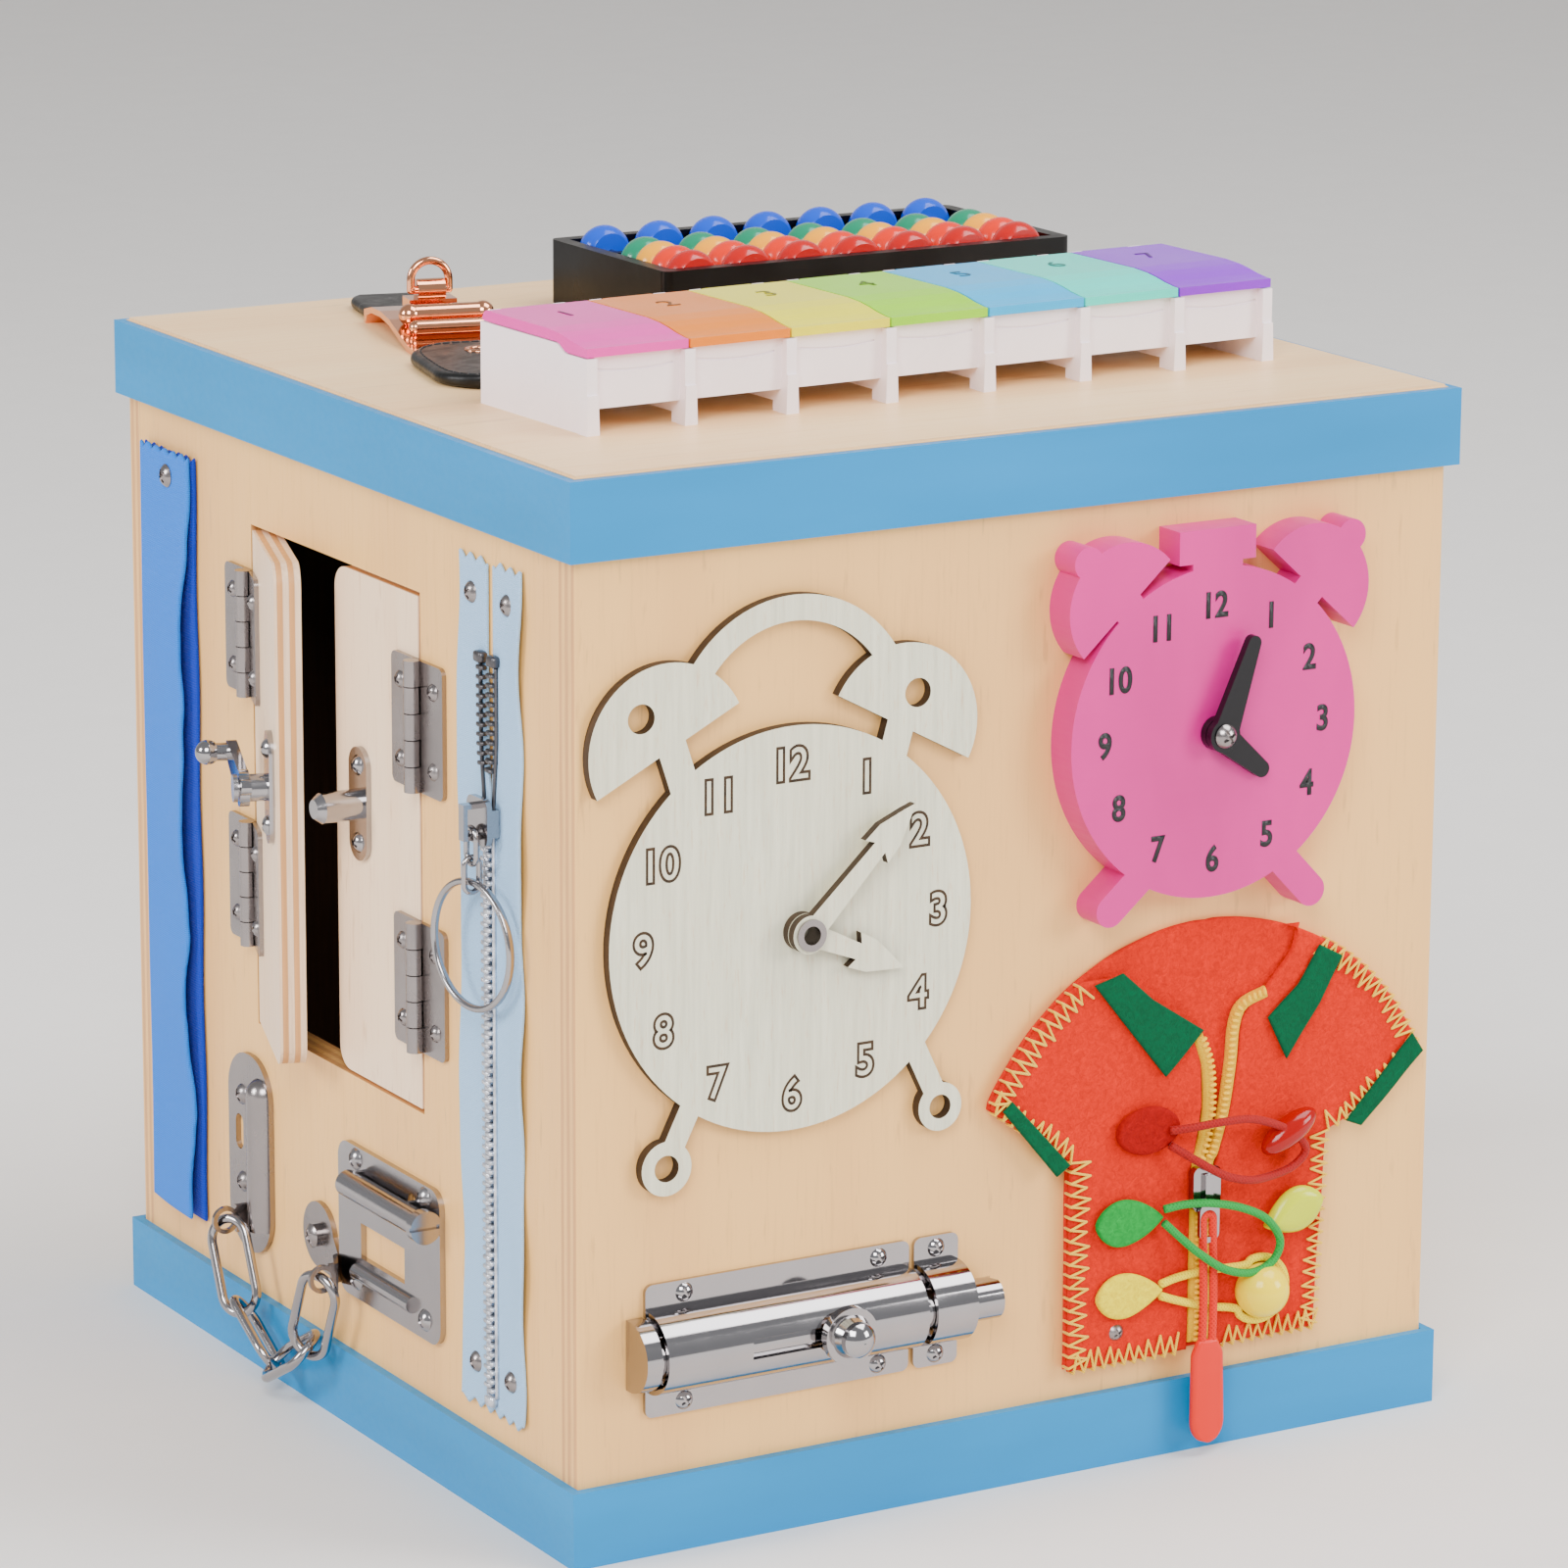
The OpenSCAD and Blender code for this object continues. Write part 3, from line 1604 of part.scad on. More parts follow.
// ---------------------------------------------------------------- abacus
module abacus_frame() {
    color([0.1, 0.1, 0.1])
        on_top(abacus_x0, abacus_y0)
            difference() {
                union() {
                    difference() {
                        translate([abacus_l / 2, abacus_d / 2, 0])
                            linear_extrude(abacus_h)
                                rrect(abacus_l, abacus_d, 2.5);
                        translate([abacus_wall, abacus_wall, abacus_floor])
                            cube([abacus_l - 2 * abacus_wall, abacus_d - 2 * abacus_wall, abacus_h]);
                    }
                    translate([1, beam_y, 0])
                        cube([abacus_l - 2, beam_t, rod_z + 1.6]);
                }
                for (i = [0:rods_n - 1])
                    translate([abacus_wall + (i + 0.5) * rod_pitch, abacus_wall / 2, rod_z])
                        rotate([-90, 0, 0])
                            cylinder(h = abacus_d - abacus_wall, r = abacus_rod_r);
            }
}

module abacus_rods() {
    color("dimgray")
        on_top(abacus_x0, abacus_y0)
            for (i = [0:rods_n - 1])
                translate([abacus_wall + (i + 0.5) * rod_pitch, abacus_wall / 2, rod_z])
                    rotate([-90, 0, 0])
                        cylinder(h = abacus_d - abacus_wall, r = abacus_rod_r);
}

// Bead with rounded faces about the y axis, from y = 0 to its thickness
module bead() {
    r = bead_d / 2;
    curve = (r * r - 9 + (bead_t / 2) * (bead_t / 2)) / bead_t + 1.6;
    rotate([-90, 0, 0])
        rotate_extrude()
            difference() {
                intersection() {
                    square([r, bead_t]);
                    translate([r - curve * 0.62, bead_t / 2])
                        circle(curve * 0.62);
                    translate([0, 0])
                        square([r, bead_t]);
                }
                square([abacus_rod_r + pin_fit, bead_t]);
            }
    difference() {
        rotate([-90, 0, 0])
            cylinder(h = bead_t, r = 3);
        rotate([-90, 0, 0])
            translate([0, 0, -1])
                cylinder(h = bead_t + 2, r = abacus_rod_r + pin_fit);
    }
}

module abacus_lower_beads() {
    color("orange")
        on_top(abacus_x0, abacus_y0)
            for (i = [0:rods_n - 1])
                for (k = [0:3])
                    translate([abacus_wall + (i + 0.5) * rod_pitch,
                            abacus_wall + bead_gap + k * (bead_t + bead_gap), rod_z])
                        bead();
}

module abacus_upper_beads() {
    color("cornflowerblue")
        on_top(abacus_x0, abacus_y0)
            for (i = [0:rods_n - 1])
                translate([abacus_wall + (i + 0.5) * rod_pitch,
                        abacus_d - abacus_wall - bead_gap - bead_t, rod_z])
                    bead();
}

// ---------------------------------------------------------------- bag clasp
module clasp_frame() {
    on_top(clasp_pos[0], clasp_pos[1])
        rotate([0, 0, clasp_turn])
            children();
}

module clasp_strap() {
    color([0.12, 0.12, 0.12])
        clasp_frame()
            translate([0, 34.5, 0])
                linear_extrude(leather_t)
                    rrect(clasp_w - 3, 28, 2);
}

// Bent plate with a ring block and a barrel across its front end
module clasp_body() {
    block = 8;
    color("rosybrown")
        clasp_frame() {
            // Bent plate: rises from the strap and runs down to the barrel
            rotate([90, 0, 90])
                translate([0, 0, -clasp_w / 2])
                    linear_extrude(clasp_w)
                        polygon([[20.2, 0], [20.2, 3.6], [12, 5.4], [2, 6], [-8, 5.4], [-18, 3.6],
                            [-28, 1.9], [-36, 1.5], [-36, 0], [-27, 0], [-17, 2], [-8, 3.8], [2, 4.4],
                            [12, 3.8], [17, 2.4], [18.4, 0]]);
            translate([-6.5, -3, 4])
                cube([13, block, 5.4]);
            difference() {
                translate([0, 1, 11.4])
                    rotate([0, 90, 0])
                        translate([0, 0, -3.8])
                            cylinder(h = 7.6, r = 3);
                translate([0, 1, 11.4])
                    rotate([0, 90, 0])
                        translate([0, 0, -8])
                            cylinder(h = 16, r = clasp_wire + pin_fit);
            }
            // Barrel with rounded end caps
            for (y = [-13, -20])
                translate([-9, y, y < -15 ? 4.9 : 7.2]) {
                    rotate([0, 90, 0])
                        cylinder(h = 20, r = y < -15 ? 2 : 2.7);
                    for (x = [0, 20])
                        translate([x, 0, 0])
                            sphere(y < -15 ? 2 : 3);
                }
        }
}

// Ring bail that turns in the barrel of the block
module clasp_ring() {
    wire = clasp_wire;
    r = clasp_ring_w / 2 - wire;
    leg = 2.6;
    color("rosybrown")
        clasp_frame()
            translate([0, 1, 11.4])
                rotate([90, 0, 0]) {
                    translate([0, leg, 0])
                        rotate_extrude(angle = 180)
                            translate([r, 0])
                                circle(wire, $fn = 32);
                    translate([-r, 0, 0])
                        rotate([0, 90, 0])
                            cylinder(h = 2 * r, r = wire);
                    for (s = [-1, 1])
                        translate([s * r, 0, 0]) {
                            sphere(wire);
                            rotate([-90, 0, 0])
                                cylinder(h = leg, r = wire);
                        }
                }
}

module clasp_tongue() {
    color([0.12, 0.12, 0.12])
        clasp_frame()
            translate([0, -62.5, 0])
                linear_extrude(leather_t + 0.6)
                    rrect(clasp_w + 9, 52, 15);
}

// ---------------------------------------------------------------- parts
front_panel();
back_panel();
left_panel();
right_panel();
top_panel();
bottom_panel();
trim_bands();
hook_loop_strap();
hinge_frame_leaves();
left_door_leaves();
right_door_leaves();
left_door();
right_door();
latch_plate();
latch_lever();
latch_keeper();
chain_track();
chain_links();
chain_bracket();
guard_plate();
zip_tapes();
zip_teeth();
zip_slider();
zip_pull();
panel_fasteners();
wood_clock();
wood_hour_hand();
wood_minute_hand();
pink_clock();
pink_hour_hand();
pink_minute_hand();
shirt_back();
shirt_flaps();
shirt_trim();
shirt_zip();
shirt_slider();
shirt_pull();
red_fastener();
green_fastener();
yellow_fastener();
shirt_loops();
bolt_housing();
bolt_keeper();
bolt_rod();
pill_tray();
pill_lid_1();
pill_lid_2();
pill_lid_3();
pill_lid_4();
pill_lid_5();
pill_lid_6();
pill_lid_7();
abacus_frame();
abacus_rods();
abacus_upper_beads();
abacus_lower_beads();
clasp_strap();
clasp_body();
clasp_ring();
clasp_tongue();
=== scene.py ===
"""Wooden busy board: soft goods, printed numerals, finishes and stage round the CAD frame."""

import math

import bmesh
import bpy
import numpy as np
from mathutils import Matrix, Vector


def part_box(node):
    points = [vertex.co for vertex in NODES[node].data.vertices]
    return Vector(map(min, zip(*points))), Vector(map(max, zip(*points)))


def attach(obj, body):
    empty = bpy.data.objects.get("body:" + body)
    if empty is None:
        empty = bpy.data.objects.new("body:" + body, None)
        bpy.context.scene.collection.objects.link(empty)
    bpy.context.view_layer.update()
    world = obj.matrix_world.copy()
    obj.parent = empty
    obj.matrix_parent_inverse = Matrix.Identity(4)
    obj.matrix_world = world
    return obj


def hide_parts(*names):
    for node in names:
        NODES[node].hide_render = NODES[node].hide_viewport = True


bl_info = {
    "name": "Busy Board",
    "version": (1, 0, 0),
    "blender": (4, 5, 0),
    "location": "View3D > Sidebar > Busy Board",
    "description": "Builds the felt, cords, zips, numerals and finishes of a wooden busy board",
    "category": "Object",
}

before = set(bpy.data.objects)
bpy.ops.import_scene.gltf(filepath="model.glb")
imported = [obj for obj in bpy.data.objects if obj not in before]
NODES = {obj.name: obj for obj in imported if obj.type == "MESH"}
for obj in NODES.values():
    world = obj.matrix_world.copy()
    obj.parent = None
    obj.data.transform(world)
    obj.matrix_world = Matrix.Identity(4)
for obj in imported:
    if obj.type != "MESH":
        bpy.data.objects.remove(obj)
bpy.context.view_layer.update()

# Sizes and places are in millimetres, and become metres when a mesh is made.
MM = 0.001
TAU = 2 * math.pi
SHIRT = (52.0, 28.0, 0.0)  # middle of the shirt's hem, on the clock face
SHIRT_ROUND = (3.0, 41.5, 73.0)  # x, y and radius of the circle round sleeves and neck
CLASP = (-66, 67, -13)  # x, y and turn in degrees, on the top board
PILL_BOX = (-100.5, -84.7, 2.14)  # the same of the corner beside the first lid
PULL_X = 53.5  # middle line of the shirt zip's pull
WELD = 0.002  # points closer together than this are one
CORD_R = 1.1  # radius of the elastic and of the pull's cord
PLY = 3.1  # thickness of one ply
TYPE_SIZE = 1.36  # size of the type over the height of its figures


def reach_of(node, axis):
    """Lowest and highest place of a CAD node along an axis, to the micrometre."""
    return [round(float(corner[axis]) / MM, 3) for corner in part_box(node)]


FACE = -reach_of("front_panel", 1)[0]  # the door and clock faces are this far from the middle
TOP = reach_of("top_panel", 2)[1]  # height of the top board's upper face
ZIP_V, ZIP_TOP = reach_of("zip_tapes", 2)  # lower and upper end of the long zip
ZIP_U = -sum(reach_of("zip_tapes", 1)) / 2  # its middle line


# ---------------------------------------------------------------- settings
def colour(name, about, rgb):
    """A colour that a user may change, kept as display values."""
    return bpy.props.FloatVectorProperty(
        name=name, description=about, default=rgb, size=3, min=0, max=1, subtype="COLOR_GAMMA")


def amount(name, about, value, **kind):
    """A number that a user may change."""
    return bpy.props.FloatProperty(name=name, description=about, default=value, **kind)


class WoodSettings(bpy.types.PropertyGroup):
    """Colours of the cabinet and the two clocks."""
    birch: colour("Birch", "Face veneer of the cabinet", (0.98, 0.75, 0.44))
    pale: colour("Pale ply", "Face veneer of the doors", (1.0, 0.865, 0.72))
    top: colour("Top board", "Face veneer of the top board", (0.98, 0.82, 0.60))
    figure: colour("Figure", "Darker streaks of the veneer", (0.88, 0.63, 0.38))
    glue: colour("Plies", "Dark plies on cut edges", (0.76, 0.56, 0.37))
    # Painted shade: a dark tone for the faces inside the cube, where shade falls.
    inside: colour("Inside", "Dark stain of the faces inside the cube", (0.33, 0.22, 0.14))
    trim: colour("Trim", "Bands round the cube", (0.0, 0.52, 0.76))
    laser: colour("Laser ply", "Raw ply of the wooden clock", (0.87, 0.86, 0.76))
    scorch: colour("Scorch", "Edges and lines burnt by the laser", (0.20, 0.13, 0.05))
    pink: colour("Pink paint", "Painted clock", (0.84, 0.0, 0.52))
    ink: colour("Ink", "Printed numerals and clock hands", (0.04, 0.03, 0.05))


class FabricSettings(bpy.types.PropertyGroup):
    """Colours and sizes in mm of the strap, tapes, felt and leather."""
    strap_front: colour("Strap front", "Loose front layer of the strap", (0.02, 0.50, 0.96))
    strap_back: colour("Strap back", "Layer against the wood", (0.01, 0.19, 0.72))
    tape: colour("Zip tape", "Woven tape of the long zip", (0.68, 0.84, 1.0))
    felt: colour("Felt", "Body of the shirt", (0.86, 0.12, 0.0))
    green: colour("Green felt", "Collars and cuffs", (0.0, 0.33, 0.20))
    thread: colour("Thread", "Blanket stitch and yellow zip", (0.98, 0.76, 0.0))
    leather: colour("Leather", "Strap of the clasp", (0.012, 0.012, 0.014))
    strap_wave: amount("Strap wave", "How far the loose strap stands off", 2.6, min=0, max=6)
    stitch_pitch: amount("Stitch pitch", "Spacing of the blanket stitch", 3.1, min=2, max=8)
    stitch_len: amount("Stitch length", "Reach of each stitch into the felt", 4.6, min=2, max=8)
    thread_d: amount("Thread", "Thickness of the thread", 0.75, min=0.3, max=1.2)


class HardwareSettings(bpy.types.PropertyGroup):
    """Colours of the metal and plastic pieces."""
    chrome: colour("Chrome", "Bright plated steel", (0.66, 0.645, 0.65))
    nickel: colour("Nickel", "Hinges and plates", (0.60, 0.57, 0.565))
    # Also the dark tone of the teeth above the slider, which is painted shade.
    teeth: colour("Teeth", "Teeth of the long zip", (0.36, 0.35, 0.36))
    gold: colour("Rose gold", "Clasp", (0.95, 0.66, 0.50))
    tray: colour("Tray", "Pill tray", (1.0, 0.95, 0.97))
    black: colour("Black plastic", "Abacus frame", (0.012, 0.011, 0.014))
    red: colour("Red", "Red button and loop", (0.62, 0.0, 0.0))
    leaf: colour("Leaf", "Green tab and loop", (0.0, 0.60, 0.22))
    lime: colour("Lime", "Leaf-shaped button", (0.80, 0.84, 0.0))
    yellow: colour("Yellow", "Ball button and tab", (1.0, 0.88, 0.0))
    pull: colour("Pull", "Cord and tab of the shirt's zip", (0.90, 0.10, 0.0))


class StageSettings(bpy.types.PropertyGroup):
    """Camera, floor and light."""
    eye: bpy.props.FloatVectorProperty(
        name="Camera", description="Place of the camera in metres", size=3,
        default=(-0.85053, -1.46894, 0.57464), subtype="TRANSLATION")
    yaw: amount("Yaw", "Heading from +Y", 0.5273, subtype="ANGLE")
    pitch: amount("Pitch", "Angle below level", 0.2412, subtype="ANGLE")
    roll: amount("Roll", "Turn about the view", 0.0045, subtype="ANGLE")
    lens: amount("Lens", "Focal length in mm", 149.75, unit="CAMERA")
    floor: colour("Floor", "Pale floor", (0.90, 0.885, 0.87))
    power: amount("Light", "Strength of the key light", 104, unit="POWER")


GROUPS = {
    "busy_wood": WoodSettings,
    "busy_fabric": FabricSettings,
    "busy_hardware": HardwareSettings,
    "busy_stage": StageSettings,
}


def wood():
    """Settings of the wood, as the panel has them now."""
    return bpy.context.scene.busy_wood


def fabric():
    return bpy.context.scene.busy_fabric


def hardware():
    return bpy.context.scene.busy_hardware


# ---------------------------------------------------------------- points and places
def spots(*axes):
    """Points whose coordinates are the given arrays or numbers."""
    return np.stack(np.broadcast_arrays(*axes), -1)


def raised(p, w):
    """Flat points given the height w."""
    return spots(p[:, 0], p[:, 1], w)


def unit(a):
    """Vectors divided by their lengths."""
    return a / np.maximum(np.linalg.norm(a, axis=-1, keepdims=True), 1e-9)


def strides(line):
    """Distances between neighbouring points of a line."""
    return np.linalg.norm(np.diff(line, axis=0), axis=1)


def run_of(line):
    """Distance of each point from the first, along the line."""
    return np.concatenate([[0], np.cumsum(strides(line))])


def on_line(line, run, where):
    """Points of the line at the distances where, read between its own points."""
    return np.stack([np.interp(where, run, column) for column in line.T], 1)


def turned(p, degrees, x=0.0, y=0.0):
    """Points turned about the third axis, then moved by x and y."""
    c, s = math.cos(math.radians(degrees)), math.sin(math.radians(degrees))
    return spots(x + p[..., 0] * c - p[..., 1] * s, y + p[..., 0] * s + p[..., 1] * c, p[..., 2])


def on_door_face(p):
    """Door face: u towards the clock face, v up, w outwards."""
    return spots(-FACE - p[..., 2], -p[..., 0], p[..., 1])


def on_clock_face(p):
    """Clock face: u along +X, v up, w outwards."""
    return spots(p[..., 0], -FACE - p[..., 2], p[..., 1])


def on_shirt(p):
    """Shirt: x from its middle line, y from its hem, w from the wood."""
    return on_clock_face(p + SHIRT)


def on_clasp(p):
    """Clasp: x across it, y along it, w from the top board."""
    return turned(p, CLASP[2], *CLASP[:2]) + [0, 0, TOP]


def on_pill_box(p):
    """Pill box: x along the row of lids, y across it, w from the top board."""
    return turned(p, PILL_BOX[2], *PILL_BOX[:2]) + [0, 0, TOP]


# ---------------------------------------------------------------- surfaces
def grid(p, wrap_u=False, wrap_v=False):
    """Quads between neighbours of an array of points p[u, v], joined round where wrapped."""
    nu, nv = p.shape[:2]
    i = np.arange(nu if wrap_u else nu - 1)[:, None]
    j = np.arange(nv if wrap_v else nv - 1)[None, :]
    i2, j2 = (i + 1) % nu, (j + 1) % nv
    quads = np.stack([i * nv + j, i2 * nv + j, i2 * nv + j2, i * nv + j2], -1)
    return p.reshape(-1, 3), quads.reshape(-1, 4)


def together(parts):
    """Several (points, faces) pairs as one."""
    starts = np.cumsum([0] + [len(v) for v, _ in parts[:-1]])
    return (np.concatenate([v for v, _ in parts]),
            np.concatenate([f + s for (_, f), s in zip(parts, starts)]))


def repeated(p, faces):
    """Like shapes p[shape, point] as one, each with the same faces."""
    faces = faces[None] + (np.arange(len(p)) * p.shape[1])[:, None, None]
    return p.reshape(-1, 3), faces.reshape(-1, faces.shape[-1])


def copies(shape, places, x_axis, y_axis):
    """shape repeated at places, its x and y along the given directions in the plane."""
    v, faces = shape
    axes = np.stack([x_axis, y_axis, np.cross(x_axis, y_axis)], 1)
    return repeated(places[:, None] + v[None] @ axes, faces)


def smooth_line(points, n):
    """n points of the curve through points whose slope at each is half the step between its
    two neighbours (a Catmull-Rom spline), evenly spaced in the points' order."""
    p = np.asarray(points, float)
    p = np.concatenate([2 * p[:1] - p[1:2], p, 2 * p[-1:] - p[-2:-1]])
    t = np.linspace(0, len(p) - 3 - 1e-9, n)
    i = t.astype(int)
    t = (t - i)[:, None]
    a, b, c, d = p[i], p[i + 1], p[i + 2], p[i + 3]
    return 0.5 * (2 * b + (c - a) * t + (2 * a - 5 * b + 4 * c - d) * t * t
                  + (3 * b - a - 3 * c + d) * t ** 3)


def rings(along, up, sides):
    """A unit circle square to each direction along: its sine is up made square to along, and
    its cosine is square to both."""
    side = unit(np.cross(along, np.broadcast_to(np.asarray(up, float), along.shape)))
    lift = np.cross(side, along)
    a = np.linspace(0, TAU, sides, endpoint=False)[:, None]
    return np.cos(a) * side[:, None] + np.sin(a) * lift[:, None]


def tube(path, radius, up, sides):
    """A circle of the given radius carried along path; the ends close to points."""
    ring = radius * rings(unit(np.gradient(path, axis=0)), up, sides)
    ring = np.concatenate([0 * ring[:1], ring, 0 * ring[-1:]])
    path = np.concatenate([path[:1], path, path[-1:]])
    return grid(path[:, None] + ring, wrap_v=True)


def threads(start, end, radius, up):
    """Short round threads from each start to each end, all at once, with domed ends."""
    along = unit(end - start)
    ring = rings(along, up, 6)
    dome = ((start, -1, 0), (start, -0.7, 0.7), (start, 0, 1),
            (end, 0, 1), (end, 0.7, 0.7), (end, 1, 0))
    p = np.stack([(place + along * radius * ahead)[:, None] + ring * radius * wide
                  for place, ahead, wide in dome], 1)
    return repeated(p.reshape(len(p), -1, 3), grid(p[0], wrap_v=True)[1])


def rounded_block(size, power, nu=9, nv=12):
    """Superellipsoid about the origin: each sine and cosine of a sphere is raised to power,
    so a small power gives a box with soft edges and 1 gives an ellipsoid."""
    a = np.linspace(-math.pi / 2, math.pi / 2, nu)[:, None]
    b = np.linspace(-math.pi, math.pi, nv, endpoint=False)[None, :]

    def bent(x):
        return np.sign(x) * np.abs(x) ** power

    wide = bent(np.cos(a))
    p = spots(wide * bent(np.cos(b)), wide * bent(np.sin(b)), bent(np.sin(a)))
    return grid(p * np.asarray(size, float) / 2, wrap_v=True)


def edge_steps(n, edge):
    """Fractions from 0 to 1 with n even steps inside and close steps at both ends."""
    near = np.array([0, 0.12, 0.4, 0.8]) * edge
    return np.concatenate([near, np.linspace(edge * 1.4, 1 - edge * 1.4, n), 1 - near[::-1]])


def sheet_piece(left, right, low, thick, rows=40, cols=24, edge=0.012, soft=0.8, ripple=None):
    """A sheet of felt, tape or leather between two edge lines, as a closed shell.

    A point is left(t) + s (right(t) - left(t)). Its height is low plus half the thickness, plus
    the ripple, plus or minus half the thickness times a quarter circle that falls to nothing
    within soft mm of every edge."""
    t, s = edge_steps(rows, edge), edge_steps(cols, edge)

    def spaced(points):
        points = np.asarray(points, float)
        run = run_of(points)
        return on_line(points, run / run[-1], t)

    a, b = spaced(left), spaced(right)
    p = a[:, None] + s[None, :, None] * (b - a)[:, None]
    across = np.linalg.norm(b - a, axis=1)[:, None]
    down = np.linalg.norm(np.diff(p, axis=0), axis=2)
    run = np.concatenate([np.zeros((1, len(s))), np.cumsum(down, 0)])
    gap = np.minimum(np.minimum(s * across, (1 - s) * across), np.minimum(run, run[-1] - run))
    fall = np.sqrt(np.clip(1 - np.clip(1 - gap / soft, 0, 1) ** 2, 0, 1))
    mid = low + thick / 2 + (ripple(p[..., 0], p[..., 1]) if ripple else 0)
    v1, f1 = grid(np.dstack([p, mid + thick / 2 * fall]))
    v2, f2 = grid(np.dstack([p, mid - thick / 2 * fall]))
    return together([(v1, f1), (v2, f2[:, ::-1])])


def link(name, data):
    """An object for the data, in the scene."""
    obj = bpy.data.objects.new(name, data)
    bpy.context.scene.collection.objects.link(obj)
    return obj


def piece(name, place, shape, finish, node=None, body="cabinet"):
    """Puts (points in mm, faces) where place says, welds the seams, turns the faces outwards
    and lets the piece ride on a body of the frame, instead of a CAD node if one is given."""
    points, faces = shape
    mesh = bpy.data.meshes.new(name)
    mesh.from_pydata((place(points) * MM).tolist(), [], faces.tolist())
    work = bmesh.new()
    work.from_mesh(mesh)
    bmesh.ops.remove_doubles(work, verts=work.verts, dist=WELD * MM)
    bmesh.ops.dissolve_degenerate(work, edges=work.edges, dist=1e-7)
    bmesh.ops.recalc_face_normals(work, faces=work.faces)
    work.to_mesh(mesh)
    work.free()
    mesh.polygons.foreach_set("use_smooth", np.ones(len(mesh.polygons), bool))
    mesh.materials.append(finish)
    obj = link(name, mesh)
    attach(obj, body)
    if node:
        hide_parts(node)
    return obj


def cloth(name, place, edges, finish, slot, node, under, held="stretched", **form):
    """A sheet between two edge lines."""
    obj = piece(name, place, sheet_piece(*edges, **form), finish, node)


def elastic(name, place, line, rgb, node, body="cabinet"):
    """A round braided cord along a line."""
    shape = tube(line, CORD_R, up=(0, 0, 1), sides=12)
    cord = piece(name, place, shape, corded(name, rgb), node, body)
    path = place(line)


def printed(text, size, depth=0.12, outline=0.0, weight=0.0, narrow=1.0, flat=1.0):
    """A word as points in mm about its own middle. With outline it is only the lines round
    each letter, as a thin round bead, which flat squeezes. weight moves the letter's outline
    outwards in mm, and narrow squeezes its width."""
    curve = bpy.data.curves.new("print", "FONT")
    curve.body, curve.size = text, size * TYPE_SIZE
    curve.align_x, curve.align_y = "CENTER", "CENTER"
    curve.resolution_u, curve.offset = 6, weight
    if outline:
        curve.fill_mode, curve.bevel_depth, curve.bevel_resolution = "NONE", outline, 1
    else:
        curve.extrude = depth / 2
    obj = link("print", curve)
    bpy.context.view_layer.update()
    graph = bpy.context.evaluated_depsgraph_get()
    mesh = bpy.data.meshes.new_from_object(obj.evaluated_get(graph))
    mesh.calc_loop_triangles()
    v = np.zeros(len(mesh.vertices) * 3)
    mesh.vertices.foreach_get("co", v)
    faces = np.zeros(len(mesh.loop_triangles) * 3, int)
    mesh.loop_triangles.foreach_get("vertices", faces)
    bpy.data.objects.remove(obj)
    bpy.data.meshes.remove(mesh)
    v = v.reshape(-1, 3)
    v[:, :2] -= (v[:, :2].max(0) + v[:, :2].min(0)) / 2
    return v * [narrow, 1, flat], faces.reshape(-1, 3)


def dial(centre, radius, size, low, **kind):
    """Numerals 1 to 12 upright round a centre, at height low off the wood."""
    parts = []
    for hour in range(1, 13):
        a = math.radians(90 - 30 * hour)
        v, f = printed(str(hour), size, **kind)
        place = [centre[0] + radius * math.cos(a), centre[1] + radius * math.sin(a), low]
        parts.append((v + place, f))
    return together(parts)


# ---------------------------------------------------------------- finishes
SOCKETS = {
    "metal": "Metallic", "coat": "Coat Weight", "coat_rough": "Coat Roughness",
    "shine": "Specular IOR Level", "sheen": "Sheen Weight", "sheen_rough": "Sheen Roughness",
    "sheen_tint": "Sheen Tint", "clear": "Transmission Weight", "ior": "IOR",
}


def lin(rgb, k=1.0):
    """Display colour as linear light, times k."""
    c = np.asarray(rgb[:3], float)
    c = np.where(c <= 0.04045, c / 12.92, ((c + 0.055) / 1.055) ** 2.4) * k
    return (*np.clip(c, 0, 1).tolist(), 1.0)


